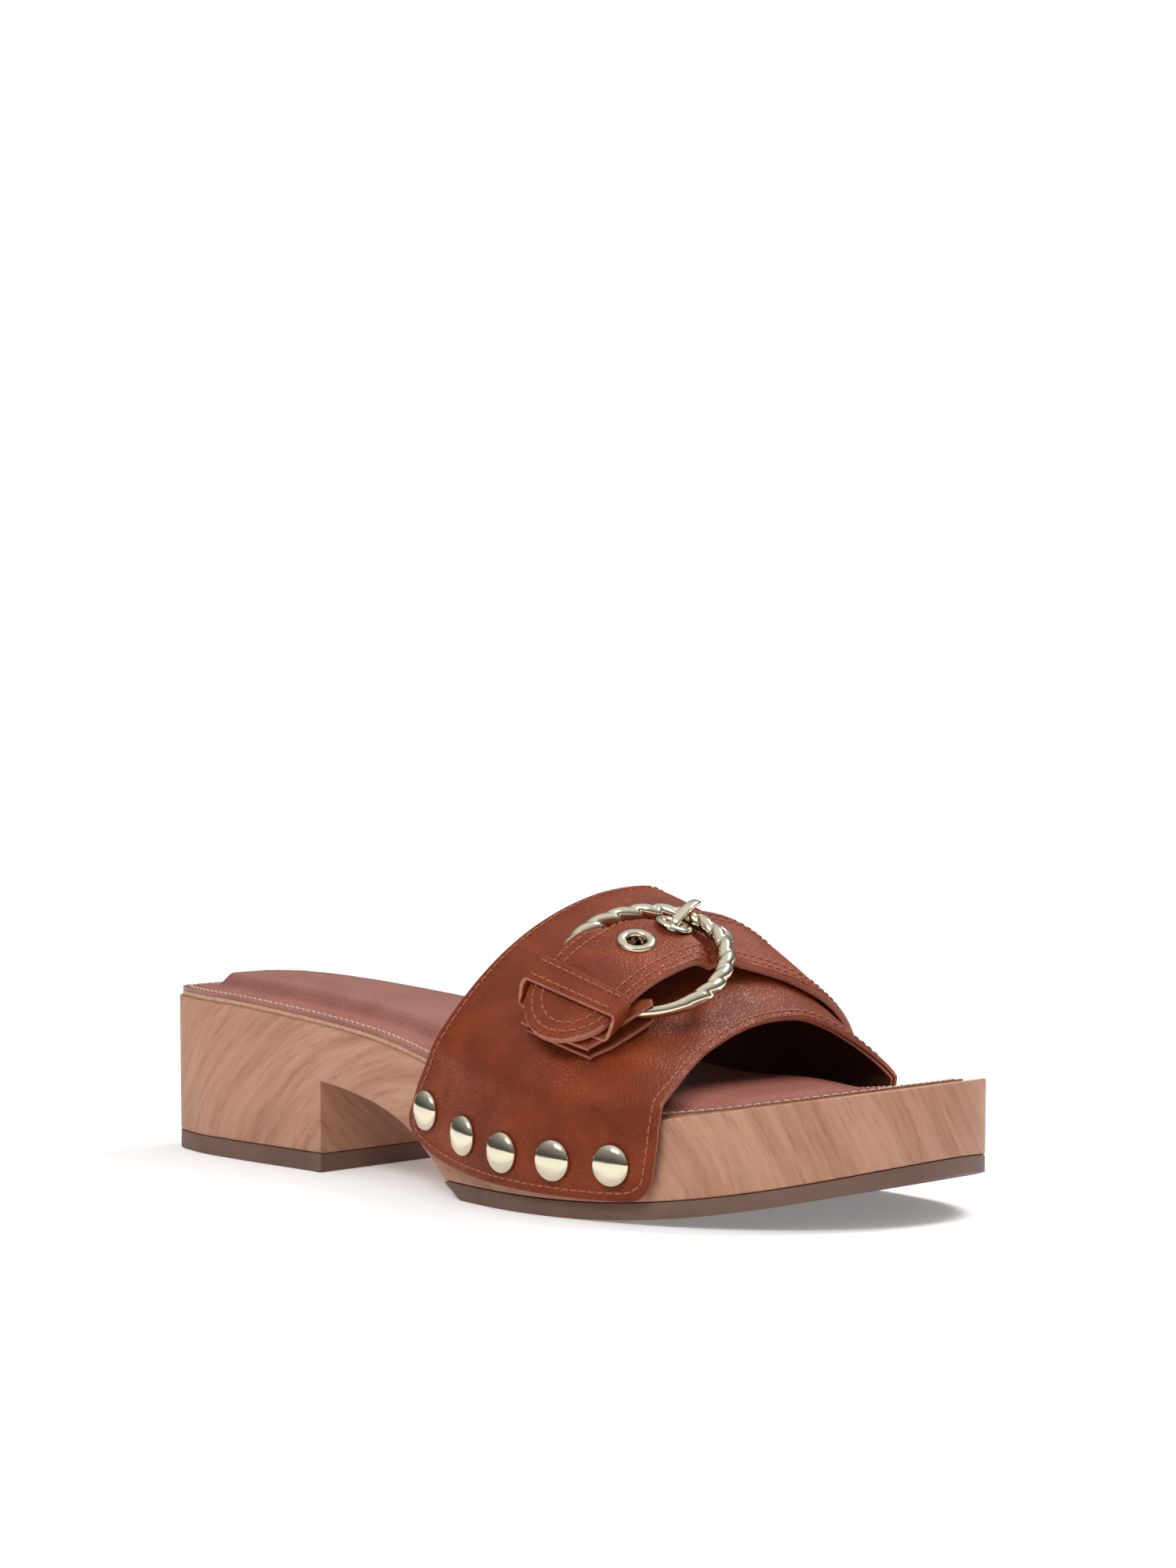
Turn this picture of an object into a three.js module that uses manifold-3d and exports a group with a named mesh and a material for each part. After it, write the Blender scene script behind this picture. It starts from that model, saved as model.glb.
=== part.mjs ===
// A right-foot wooden clog: a carved wooden sole with rubber treads, a padded leather footbed, and a
// studded leather vamp that carries a ring buckle. Millimetres, +X to the toe, +Y to the inner side
// of the foot, +Z up, with the treads on z = 0.
import * as THREE from 'three';
import Module from 'manifold-3d';
import { mergeVertices } from 'three/addons/utils/BufferGeometryUtils.js';

const wasm = await Module();
wasm.setup();

// Overall size. The last is the foot form whose shape the outlines below are drawn on.
const SOLE_LENGTH = 249;
const SOLE_WIDTH = 92;
const LAST_LENGTH = 249;
const LAST_WIDTH = 92;
const HEEL_RAISE = 0;
const GAP = 0.3;

// Wooden sole and treads.
const HEEL_TREAD = 5.1;
const FOREFOOT_TREAD = 4.2;
const ARCH_START = 72.4;
const TREAD_START = 135.6;
const TREAD_RAKE = 6.8;
const TOE_SPRING_START = 170;
const TOE_SPRING_RADIUS = 270;
const HEEL_BREAST_TOP = 23.9;

// Footbed.
const FOOTBED_INSET = 0.9;
const FOOTBED_TOE_INSET = 5.5;
const BOARD_THICKNESS = 1.0;
const SOCK_THICKNESS = 0.9;
const FOAM_THICKNESS = 3.5;
const CUSHION_INSET = 10;
const CUSHION_BEVEL = 4.5;
const FOAM_CLEARANCE = 4.5;
const FOAM_END = 184;
const FOAM_FADE = 28;

// Vamp leather.
const LINING_THICKNESS = 0.8;
const LEATHER_THICKNESS = 1.2;
const LINING_OUT = GAP + LINING_THICKNESS;
const VAMP_OUT = LINING_OUT + GAP + LEATHER_THICKNESS;
const WALL_SPAN = 0.12;

// Studs.
const STUD_STATIONS = [[124, 21.5], [141, 17], [157, 14.5], [173.5, 14], [190, 14]];
const STUD_RADIUS = 5.1;
const STUD_RISE = 2.2;
const NAIL_RADIUS = 0.9;
const NAIL_LENGTH = 12;

// Ring buckle, strap, chape and keeper.
const RING_RADIUS = 19.6;
const WIRE_RADIUS = 2.1;
const BAR_RADIUS = 1.5;
const STRAP_WIDTH = 25;
const STRAP_THICKNESS = 2.2;
const CHAPE_THICKNESS = 1.4;
const CHAPE_TAIL = 15;
const PRONG_WIDTH = 2.6;
const PRONG_THICKNESS = 1.4;
const PRONG_SLOT = 4;
const KEEPER_WIDTH = 6.2;
const KEEPER_THICKNESS = 1.1;
const EYELET_RADIUS = 4.8;
const EYELET_HOLE = 2.4;
const EYELET_WALL = 0.5;
const EYELET_FLANGE = 0.6;
const EYELET_UNDER = 3.8;

const V = (x, y, z) => new THREE.Vector3(x, y, z);
const lerp = THREE.MathUtils.lerp;
const alongLast = (x) => x * SOLE_LENGTH / LAST_LENGTH;
const acrossLast = (y) => y * SOLE_WIDTH / LAST_WIDTH;

// A smooth value through [station, value] pairs, straight beyond the ends.
function graded(pairs) {
  const n = pairs.length;
  const step = pairs.slice(1).map((p, i) => (p[1] - pairs[i][1]) / (p[0] - pairs[i][0]));
  const slope = pairs.map((p, i) => {
    if (i === 0) return step[0];
    if (i === n - 1) return step[n - 2];
    return step[i - 1] * step[i] <= 0 ? 0 : 2 * step[i - 1] * step[i] / (step[i - 1] + step[i]);
  });
  return (x) => {
    if (x <= pairs[0][0]) return pairs[0][1] + (x - pairs[0][0]) * slope[0];
    if (x >= pairs[n - 1][0]) return pairs[n - 1][1] + (x - pairs[n - 1][0]) * slope[n - 1];
    const i = pairs.findIndex((p) => x < p[0]) - 1;
    const h = pairs[i + 1][0] - pairs[i][0];
    const u = (x - pairs[i][0]) / h;
    const a = (1 + 2 * u) * (1 - u) ** 2 * pairs[i][1] + u * (1 - u) ** 2 * h * slope[i];
    const b = u * u * (3 - 2 * u) * pairs[i + 1][1] - u * u * (1 - u) * h * slope[i + 1];
    return a + b;
  };
}

// Solids: closed meshes in, manifolds for joining and cutting, closed meshes out.
function solid(geometry) {
  const bare = geometry.clone();
  bare.deleteAttribute('normal');
  bare.deleteAttribute('uv');
  const merged = mergeVertices(bare, 1e-4);
  const vertProperties = new Float32Array(merged.attributes.position.array);
  const triVerts = new Uint32Array(merged.index.array);
  return new wasm.Manifold(new wasm.Mesh({ numProp: 3, vertProperties, triVerts }));
}

function geometryOf(manifold) {
  const mesh = manifold.getMesh();
  const geometry = new THREE.BufferGeometry();
  geometry.setAttribute('position', new THREE.BufferAttribute(mesh.vertProperties, 3));
  geometry.setIndex(new THREE.BufferAttribute(mesh.triVerts, 1));
  return geometry;
}

// A closed skin between two sheets of points, upper(a, b) and lower(a, b) with a and b from 0 to 1.
function slab(upper, lower, na, nb) {
  const points = [];
  const index = [];
  const row = nb + 1;
  const half = (na + 1) * row;
  for (const sheet of [upper, lower]) {
    for (let i = 0; i <= na; i++) {
      for (let j = 0; j <= nb; j++) points.push(...sheet(i / na, j / nb).toArray());
    }
  }
  const quad = (a, b, c, d) => index.push(a, b, c, a, c, d);
  for (let i = 0; i < na; i++) {
    for (let j = 0; j < nb; j++) {
      const k = i * row + j;
      quad(k, k + row, k + row + 1, k + 1);
      quad(half + k, half + k + 1, half + k + row + 1, half + k + row);
    }
  }
  for (let i = 0; i < na; i++) {
    const k = i * row;
    quad(k, half + k, half + k + row, k + row);
    quad(k + nb, k + row + nb, half + k + row + nb, half + k + nb);
  }
  for (let j = 0; j < nb; j++) {
    const k = na * row + j;
    quad(j, j + 1, half + j + 1, half + j);
    quad(k, half + k, half + k + 1, k + 1);
  }
  const geometry = new THREE.BufferGeometry();
  geometry.setAttribute('position', new THREE.Float32BufferAttribute(points, 3));
  geometry.setIndex(index);
  return geometry;
}

// ---- Sole shape -------------------------------------------------------------------------------
const OUTLINE = [
  [0, 0], [2, -15.5], [15.5, -22.5], [35, -26], [65, -29], [95, -32.5], [128, -41], [160, -48],
  [190, -45.5], [214, -39], [234, -26.5], [245.5, -9], [248.5, 12], [243.5, 27], [231.5, 36.5],
  [212, 41.5], [185, 44], [160, 42.5], [130, 37.5], [95, 31], [65, 29.5], [35, 28], [14.5, 25],
  [3, 15],
];
const OUTLINE_STEPS = 96;
const outlineCurve = new THREE.CatmullRomCurve3(
  OUTLINE.map(([x, y]) => V(alongLast(x), acrossLast(y), 0)), true, 'centripetal');
const outline = outlineCurve.getSpacedPoints(OUTLINE_STEPS).slice(0, -1);

// The outline moved outward by a distance, as points that keep their order.
function offsetOutline(distance) {
  return outline.map((p, i) => {
    const before = outline[(i + outline.length - 1) % outline.length];
    const after = outline[(i + 1) % outline.length];
    const tangent = after.clone().sub(before).normalize();
    return V(p.x + tangent.y * distance, p.y - tangent.x * distance, 0);
  });
}

// Where an outline crosses a station: side -1 is the outer side of the foot, +1 the inner side.
function edgeOf(points, x, side) {
  let y = null;
  points.forEach((p, i) => {
    const q = points[(i + 1) % points.length];
    if ((p.x - x) * (q.x - x) > 0 || p.x === q.x) return;
    const at = p.y + (x - p.x) * (q.y - p.y) / (q.x - p.x);
    if (y === null || at * side > y * side) y = at;
  });
  return y;
}

const rimHeight = graded([[0, 42.4], [30, 41.7], [62, 39.6], [90, 36.8], [120, 32.2], [150, 25.6],
  [180, 22.3], [210, 26.9], [250, 33.8]].map(([x, z]) => [alongLast(x), z + HEEL_RAISE]));
const springStart = alongLast(TOE_SPRING_START);
const treadHeight = (x) => Math.max(0, x - springStart) ** 2 / (2 * TOE_SPRING_RADIUS);

function extrudeOutline(points, height) {
  const shape = new THREE.Shape(points.map((p) => new THREE.Vector2(p.x, p.y)));
  return solid(new THREE.ExtrudeGeometry(shape, { depth: height, bevelEnabled: false }));
}

// A side profile of [x, z] points, as a solid wider than the foot.
function extrudeProfile(points) {
  const shape = new THREE.Shape(points.map(([x, z]) => new THREE.Vector2(x, z)));
  const geometry = new THREE.ExtrudeGeometry(shape, { depth: 4 * SOLE_WIDTH, bevelEnabled: false });
  geometry.rotateX(Math.PI / 2);
  geometry.translate(0, 2 * SOLE_WIDTH, 0);
  return solid(geometry);
}

const stations = (from, to, count) =>
  Array.from({ length: count + 1 }, (_, i) => from + (to - from) * i / count);
const PAST_END = 6;
const treadStart = alongLast(TREAD_START);
const archStart = alongLast(ARCH_START);
const woodStart = treadStart - TREAD_RAKE;

function woodenSole() {
  const top = stations(SOLE_LENGTH + PAST_END, -PAST_END, 26).map((x) => [x, rimHeight(x)]);
  const foot = stations(treadStart, SOLE_LENGTH + PAST_END, 14)
    .map((x) => [x, treadHeight(x) + FOREFOOT_TREAD]);
  const fall = HEEL_BREAST_TOP - FOREFOOT_TREAD;
  const arch = [[0.13, 0.04], [0.27, 0.11], [0.42, 0.2], [0.58, 0.33], [0.72, 0.48], [0.85, 0.7]]
    .map(([u, w]) => [lerp(archStart, woodStart, u), HEEL_BREAST_TOP - w * fall]);
  const profile = [[-PAST_END, HEEL_TREAD], [archStart, HEEL_TREAD], [archStart, HEEL_BREAST_TOP],
    ...arch, [woodStart, FOREFOOT_TREAD], ...foot, ...top];
  const body = extrudeOutline(outline, rimHeight(0) * 2).intersect(extrudeProfile(profile));
  return nailHoles(body);
}

function heelTopPiece() {
  const top = HEEL_TREAD - GAP;
  const profile = [[-PAST_END, 0], [archStart, 0], [archStart, top], [-PAST_END, top]];
  return extrudeOutline(outline, HEEL_TREAD * 2).intersect(extrudeProfile(profile));
}

function forefootOutsole() {
  const lower = stations(treadStart, SOLE_LENGTH + PAST_END, 14).map((x) => [x, treadHeight(x)]);
  const thickness = FOREFOOT_TREAD - GAP;
  const upper = lower.map(([x, z]) => [x, z + thickness]).reverse();
  const profile = [...lower, ...upper, [woodStart, thickness]];
  return extrudeOutline(outline, SOLE_LENGTH / 4).intersect(extrudeProfile(profile));
}

// ---- Footbed: board, foam and leather sock ----------------------------------------------------
// The footbed reaches nearly to the rim, and stands further in from it round the toe.
const toeEdge = offsetOutline(-FOOTBED_TOE_INSET);
const footbedEdge = offsetOutline(-FOOTBED_INSET).map((p, i) => {
  const share = THREE.MathUtils.smoothstep(p.x, alongLast(FOAM_END), alongLast(FOAM_END + FOAM_FADE));
  return p.lerp(toeEdge[i], share);
});

function distanceInside(x, y) {
  const p = V(x, y, 0);
  const line = new THREE.Line3();
  const nearest = V(0, 0, 0);
  return Math.min(...outline.map((a, i) => {
    line.set(a, outline[(i + 1) % outline.length]);
    return line.closestPointToPoint(p, true, nearest).distanceTo(p);
  }));
}

// A layer that follows the top of the wood, with its two faces given as heights over it.
function footbedLayer(edge, lower, upper, na, nb) {
  const xs = edge.map((p) => p.x);
  const from = Math.min(...xs) + 0.05;
  const to = Math.max(...xs) - 0.05;
  const sheet = (height) => (a, b) => {
    const x = lerp(from, to, 0.5 - 0.5 * Math.cos(Math.PI * a));
    const y = lerp(edgeOf(edge, x, -1), edgeOf(edge, x, 1), 0.5 - 0.5 * Math.cos(Math.PI * b));
    return V(x, y, rimHeight(x) + height(x, y));
  };
  return slab(sheet(upper), sheet(lower), na, nb);
}

const cushionInset = acrossLast(CUSHION_INSET);
const cushionBevel = acrossLast(CUSHION_BEVEL);
const boardTop = GAP + BOARD_THICKNESS;
const foamTop = boardTop + GAP + FOAM_THICKNESS;

// How far the cushion has risen at a point: 0 on the stitched flange, 1 on the flat of the cushion.
function cushionRise(x, y) {
  const inside = (distanceInside(x, y) - cushionInset) / cushionBevel;
  const start = alongLast(FOAM_END) + 2 * GAP;
  const fade = 1 - THREE.MathUtils.smoothstep(x, start, start + alongLast(FOAM_FADE));
  return THREE.MathUtils.smoothstep(inside, 0, 1) * fade;
}

function footbedBoard() {
  return footbedLayer(footbedEdge, () => GAP, () => boardTop, 26, 4);
}

function footbedFoam() {
  const edge = offsetOutline(-(cushionInset + cushionBevel + acrossLast(FOAM_CLEARANCE)))
    .map((p) => V(Math.min(p.x, alongLast(FOAM_END)), p.y, 0));
  return footbedLayer(edge, () => boardTop + GAP, () => foamTop, 24, 4);
}

function insoleSock() {
  const rise = (x, y) => lerp(boardTop, foamTop, cushionRise(x, y)) + GAP;
  return footbedLayer(footbedEdge, rise, (x, y) => rise(x, y) + SOCK_THICKNESS, 30, 14);
}

// ---- Vamp surface -----------------------------------------------------------------------------
// t runs from the outer side (0) over the instep to the inner side (1), and goes on down each side
// wall of the sole by WALL_SPAN. v runs from the rear edge (0) to the front edge (1).
const rearEdge = graded([[0, 122.7], [0.15, 130], [0.3, 134.8], [0.4, 138.3], [0.5, 141.7],
  [0.6, 142.1], [0.75, 134.6], [1, 122.2]]);
const frontEdge = graded([[0, 203], [0.15, 200.2], [0.3, 195.2], [0.4, 193.9], [0.5, 194.9],
  [0.6, 196.9], [0.75, 200.6], [1, 204.4]]);
const hemRear = 113.2;
const hemFront = 200;
const hemHeight = graded([[113, 17], [122, 12.3], [129.5, 9.6], [143.5, 7.3], [157, 6.3],
  [172, 5.6], [186, 5.4], [200, 5.9]]);
const instepHeight = (x) => 76 - (x - 141) * 0.547 - 0.0063 * (x - 141) * (x - 191);
const INSTEP_LINE = 18.3;
const OUTER_FULLNESS = 1.63;
const INNER_FULLNESS = 1.97;
const LEATHER_SEAT = 2.2;
const vampLines = new Map();

function sideOf(x, side, distance) {
  if (!vampLines.has(distance)) vampLines.set(distance, offsetOutline(distance));
  return edgeOf(vampLines.get(distance), x, side);
}

function vampSkin(t, v) {
  const side = t < 0.5 ? -1 : 1;
  const part = side < 0 ? t : 1 - t;
  const over = Math.max(part, 0) * Math.PI;
  const rimX = lerp(rearEdge(side < 0 ? Math.max(t, 0) : Math.min(t, 1)),
    frontEdge(side < 0 ? Math.max(t, 0) : Math.min(t, 1)), v);
  const down = Math.max(-part, 0) / WALL_SPAN;
  const lastX = lerp(rimX, lerp(hemRear, hemFront, v), down);
  const x = alongLast(lastX);
  const seat = rimHeight(x) + LEATHER_SEAT;
  const wall = sideOf(x, side, VAMP_OUT);
  const power = 2 / (side < 0 ? OUTER_FULLNESS : INNER_FULLNESS);
  const line = acrossLast(INSTEP_LINE);
  const y = line + (wall - line) * Math.cos(over) ** power;
  const z = seat + (instepHeight(lastX) + HEEL_RAISE - seat) * Math.sin(over) ** power;
  return V(x, y, down > 0 ? lerp(seat, hemHeight(lastX), down) : z);
}

// A point at a height over the vamp's outer face, with the face's outward direction.
const STEP = 2e-3;
function vampNormal(t, v) {
  const across = vampSkin(t + STEP, v).sub(vampSkin(t - STEP, v));
  const along = vampSkin(t, v + STEP).sub(vampSkin(t, v - STEP));
  return along.cross(across).normalize();
}
const vampPoint = (t, v, height) => vampSkin(t, v).addScaledVector(vampNormal(t, v), height);

function vampSheet(height, shrink) {
  return (a, b) => {
    const t = lerp(-WALL_SPAN, 1 + WALL_SPAN, b);
    return vampPoint(t, lerp(shrink, 1 - shrink, a), height);
  };
}

function vampOuter() {
  return nailHoles(solid(slab(vampSheet(0, 0), vampSheet(-LEATHER_THICKNESS, 0), 8, 34)));
}

function vampLining() {
  const top = -LEATHER_THICKNESS - GAP;
  const skin = slab(vampSheet(top, 0.006), vampSheet(top - LINING_THICKNESS, 0.006), 8, 34);
  return nailHoles(solid(skin));
}

// ---- Studs ------------------------------------------------------------------------------------
function studFrame(lastX, z, side) {
  const x = alongLast(lastX);
  const ahead = sideOf(x + 2, side, VAMP_OUT) - sideOf(x - 2, side, VAMP_OUT);
  const out = V(-ahead * side, 4 * side, 0).normalize();
  const seat = V(x, sideOf(x, side, VAMP_OUT), z).addScaledVector(out, GAP);
  const turn = new THREE.Quaternion().setFromUnitVectors(V(0, 1, 0), out);
  return new THREE.Matrix4().compose(seat, turn, V(1, 1, 1));
}

const studFrames = [-1, 1].flatMap((side) =>
  STUD_STATIONS.map(([x, z]) => studFrame(x, z + HEEL_RAISE, side)));

function stud(frame) {
  const profile = [new THREE.Vector2(0, -NAIL_LENGTH), new THREE.Vector2(NAIL_RADIUS, -NAIL_LENGTH + 2),
    new THREE.Vector2(NAIL_RADIUS, 0), new THREE.Vector2(STUD_RADIUS, 0)];
  for (let i = 1; i <= 4; i++) {
    const angle = i * Math.PI / 8;
    profile.push(new THREE.Vector2(STUD_RADIUS * Math.cos(angle), STUD_RISE * Math.sin(angle)));
  }
  profile[profile.length - 1].x = 0;
  return new THREE.LatheGeometry(profile, 14).applyMatrix4(frame);
}

function nailHoles(body) {
  let result = body;
  for (const frame of studFrames) {
    const hole = new THREE.CylinderGeometry(NAIL_RADIUS + GAP, NAIL_RADIUS + GAP, NAIL_LENGTH * 2, 8);
    result = result.subtract(solid(hole.translate(0, -0.8, 0).applyMatrix4(frame)));
  }
  return result;
}

// ---- Buckle strap frame -----------------------------------------------------------------------
// The strap crosses the vamp at a slant: t is the place along it and w is millimetres toward the toe
// from its middle line.
const strapLine = graded([[0, 0.52], [0.25, 0.55], [0.38, 0.57], [0.5, 0.62], [0.6, 0.65], [1, 0.66]]);
function strapPoint(t, w, height) {
  const span = vampSkin(t, 1).distanceTo(vampSkin(t, 0));
  return vampPoint(t, strapLine(t) + w / span, height);
}

const chapeTop = GAP + CHAPE_THICKNESS;
const seatHeight = chapeTop + GAP + BAR_RADIUS;
const SEAT_T = 0.223;

// Places round the ring were drawn for one ring size, and move with the size it has now.
const DRAWN_RING = 19.6;
const ringShare = RING_RADIUS / DRAWN_RING;
const roundRing = (t) => (t < SEAT_T ? t : SEAT_T + (t - SEAT_T) * ringShare);

// The ring lies in one plane: from its seat in the chape to its far side over the strap, and from its
// heel side, low over the vamp, to its toe side. Each place is [t, v, height].
const SEAT_V = 0.613;
const RING_SEAT = [SEAT_T, SEAT_V, seatHeight];
const RING_FAR = [roundRing(0.402), 0.537, 7.9];
const RING_HEEL_SIDE = [roundRing(0.294), SEAT_V - 0.305 * ringShare, 3.7];
const RING_TOE_SIDE = [roundRing(0.334), SEAT_V + 0.253 * ringShare, 8.3];
function ringFrame() {
  const seat = vampPoint(...RING_SEAT);
  const toward = vampPoint(...RING_FAR).sub(seat).normalize();
  const side = vampPoint(...RING_TOE_SIDE).sub(vampPoint(...RING_HEEL_SIDE));
  const normal = side.cross(toward).normalize();
  const centre = seat.clone().addScaledVector(toward, RING_RADIUS);
  const across = normal.clone().cross(toward);
  return new THREE.Matrix4().makeBasis(toward, across, normal).setPosition(centre);
}

// The wire is a thin smooth bar in the chape and swells to full thickness round the rest.
function ringBuckle() {
  const geometry = new THREE.TorusGeometry(RING_RADIUS, WIRE_RADIUS, 10, 44);
  const { position } = geometry.attributes;
  const point = V(0, 0, 0);
  for (let i = 0; i < position.count; i++) {
    point.fromBufferAttribute(position, i);
    const middle = V(point.x, point.y, 0).setLength(RING_RADIUS);
    const fromSeat = Math.PI - Math.abs(Math.atan2(middle.y, middle.x));
    const swell = THREE.MathUtils.smoothstep(fromSeat, 0.8, 1.4);
    point.sub(middle).multiplyScalar(lerp(BAR_RADIUS, WIRE_RADIUS, swell) / WIRE_RADIUS).add(middle);
    position.setXYZ(i, point.x, point.y, point.z);
  }
  return geometry.applyMatrix4(ringFrame());
}

// ---- Strap, chape and keeper ------------------------------------------------------------------
const foldRadius = BAR_RADIUS + GAP + CHAPE_THICKNESS / 2;
const foldTop = seatHeight + foldRadius + CHAPE_THICKNESS / 2;
const keeperFloor = chapeTop + GAP;
const upperChape = keeperFloor + KEEPER_THICKNESS + GAP;
const DIP_SLOPE = 1.3;
const ringEdge = Math.sqrt(RING_RADIUS ** 2 - (STRAP_WIDTH / 2) ** 2);
const DIP_BEFORE = 19.1;
const DIP_AFTER = 6.1;
const DIP_START = ringEdge - DIP_BEFORE;
const DIP_END = ringEdge - DIP_AFTER;
const STRAP_TIP_T = 0.132;
const STRAP_END_T = 1.01;
const EYELET_T = [0.31, 0.368, 0.44].map(roundRing);
const underStrap = graded([[STRAP_TIP_T, upperChape + CHAPE_THICKNESS + GAP], [0.165, 5.4],
  [0.205, 6.8], [SEAT_T, foldTop + 2 * GAP], [0.26, 7.7], [0.3, 7.4], [0.34, 7.1], [0.37, 6.6],
  [0.39, 5.1], [0.41, 3.5], [0.43, 2.3], [0.46, 1.3], [0.5, 0.6], [0.54, GAP], [1, GAP]]
  .map(([t, rise]) => [roundRing(t), rise]));
const strapTilt = graded([[0.2, 0], [0.25, 0.03], [0.3, 0.05], [0.38, 0.04], [0.44, 0.02], [0.5, 0]]
  .map(([t, tilt]) => [roundRing(t), tilt]));

// The strap arches over the chape and dips to pass under the far side of the ring.
const toRing = ringFrame().invert();
function strapRise(t, w) {
  const arch = underStrap(t) + w * Math.max(0, t < 0.5 ? strapTilt(t) : 0);
  const top = strapPoint(t, w, arch + STRAP_THICKNESS).applyMatrix4(toRing);
  const inside = RING_RADIUS - WIRE_RADIUS - 2 * GAP - Math.hypot(top.x, top.y);
  const ceiling = -WIRE_RADIUS - 2 * GAP + DIP_SLOPE * Math.max(0, inside);
  const dip = Math.max(0, top.z - ceiling) * THREE.MathUtils.smoothstep(top.x, DIP_START, DIP_END);
  return Math.max(arch - dip, 2 * GAP);
}

function strapSheet(rise) {
  return (a, b) => {
    const t = lerp(STRAP_TIP_T, STRAP_END_T, b);
    const fromTip = (t - STRAP_TIP_T) * millimetresPerTurn(STRAP_TIP_T);
    const half = STRAP_WIDTH / 2;
    const corner = Math.min(fromTip / half, 1);
    const width = half * Math.max(Math.sqrt(1 - (1 - corner) ** 2), 0.35);
    const w = lerp(-width, width, a);
    return strapPoint(t, w, strapRise(t, w) + rise);
  };
}

// Millimetres of strap for one whole unit of t near a place on the vamp.
function millimetresPerTurn(t) {
  const v = strapLine(t);
  return vampSkin(t + 0.01, v).distanceTo(vampSkin(t - 0.01, v)) / 0.02;
}

function buckleStrap() {
  let body = solid(slab(strapSheet(STRAP_THICKNESS), strapSheet(0), 4, 44));
  for (const t of EYELET_T) body = body.subtract(solid(eyeletRoom().applyMatrix4(eyeletFrame(t))));
  return body;
}

// The room that an eyelet takes in the strap: its barrel's hole, with the leather pressed flat
// under both flanges.
function eyeletRoom() {
  const hole = EYELET_HOLE + EYELET_WALL + GAP;
  const face = STRAP_THICKNESS / 2;
  const deep = 4 * STRAP_THICKNESS;
  const profile = [[0, -deep], [EYELET_UNDER + GAP, -deep], [EYELET_UNDER + GAP, -face], [hole, -face],
    [hole, face], [EYELET_RADIUS + GAP, face], [EYELET_RADIUS + GAP, deep], [0, deep]];
  return new THREE.LatheGeometry(profile.map(([r, y]) => new THREE.Vector2(r, y)), 20);
}

function eyeletFrame(t) {
  const at = (u, w) => strapPoint(u, w, strapRise(u, w) + STRAP_THICKNESS / 2);
  const across = at(t, EYELET_HOLE).sub(at(t, -EYELET_HOLE)).normalize();
  const along = at(t + 0.01, 0).sub(at(t - 0.01, 0)).normalize();
  const out = across.clone().cross(along).normalize();
  return new THREE.Matrix4().makeBasis(out.clone().cross(across), out, across).setPosition(at(t, 0));
}

function eyelet(t) {
  const face = STRAP_THICKNESS / 2 + GAP;
  const top = face + EYELET_FLANGE;
  const barrel = EYELET_HOLE + EYELET_WALL;
  const profile = [[EYELET_HOLE, -top], [EYELET_UNDER, -top], [EYELET_UNDER, -face], [barrel, -face],
    [barrel, face], [EYELET_RADIUS, face], [EYELET_RADIUS - 0.4, top], [EYELET_HOLE + 0.3, top],
    [EYELET_HOLE, face], [EYELET_HOLE, -top]];
  const points = profile.map(([r, y]) => new THREE.Vector2(r, y));
  return new THREE.LatheGeometry(points, 20).applyMatrix4(eyeletFrame(t));
}

// The middle of the eyelet that the prong goes through, in the ring's own frame.
function buckledEyelet() {
  return V(0, 0, 0).setFromMatrixPosition(eyeletFrame(EYELET_T[1])).applyMatrix4(toRing);
}

// The chape is one strip of leather, folded round the ring: u runs from the end of its lower layer
// round the fold to the end of its upper layer, and w is across it.
function chapeSheet(offset) {
  return (a, b) => chapePoint(b, lerp(-1, 1, a) * (STRAP_WIDTH / 2 - 0.5), offset);
}

function chapePoint(u, w, offset) {
  const turn = Math.PI * foldRadius;
  const run = u * (2 * CHAPE_TAIL + turn) - CHAPE_TAIL;
  if (run > 0 && run < turn) return foldPoint(run / foldRadius, w, offset);
  const lower = run <= 0;
  const back = lower ? -run / CHAPE_TAIL : (run - turn) / CHAPE_TAIL;
  const rest = lower ? GAP + CHAPE_THICKNESS / 2 - offset : upperChape + CHAPE_THICKNESS / 2 + offset;
  const t = SEAT_T - back * CHAPE_TAIL / millimetresPerTurn(SEAT_T);
  const fold = foldPoint(lower ? 0 : Math.PI, w, offset);
  const tail = strapPoint(t, w, rest);
  const flat = strapPoint(SEAT_T, w, rest);
  const ease = THREE.MathUtils.smoothstep(1 - back, lower ? 0 : 0.55, 1);
  return tail.addScaledVector(fold.sub(flat), ease);
}

// A point on the leather where it goes round the ring's wire.
function foldPoint(angle, w, offset) {
  const frame = ringFrame();
  const swing = Math.asin(w / RING_RADIUS);
  const wire = V(-Math.cos(swing), -Math.sin(swing), 0);
  const reach = foldRadius + offset;
  const inward = RING_RADIUS - reach * Math.sin(angle);
  return wire.multiplyScalar(inward).setZ(-reach * Math.cos(angle)).applyMatrix4(frame);
}

function chape() {
  const half = CHAPE_THICKNESS / 2;
  const slot = new THREE.BoxGeometry(2 * CHAPE_TAIL, PRONG_SLOT, 40);
  const slotEnd = BAR_RADIUS + PRONG_THICKNESS + 4 * GAP;
  slot.translate(-RING_RADIUS + CHAPE_TAIL - slotEnd, buckledEyelet().y, 0).applyMatrix4(ringFrame());
  return solid(slab(chapeSheet(-half), chapeSheet(half), 6, 30)).subtract(solid(slot));
}

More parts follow.
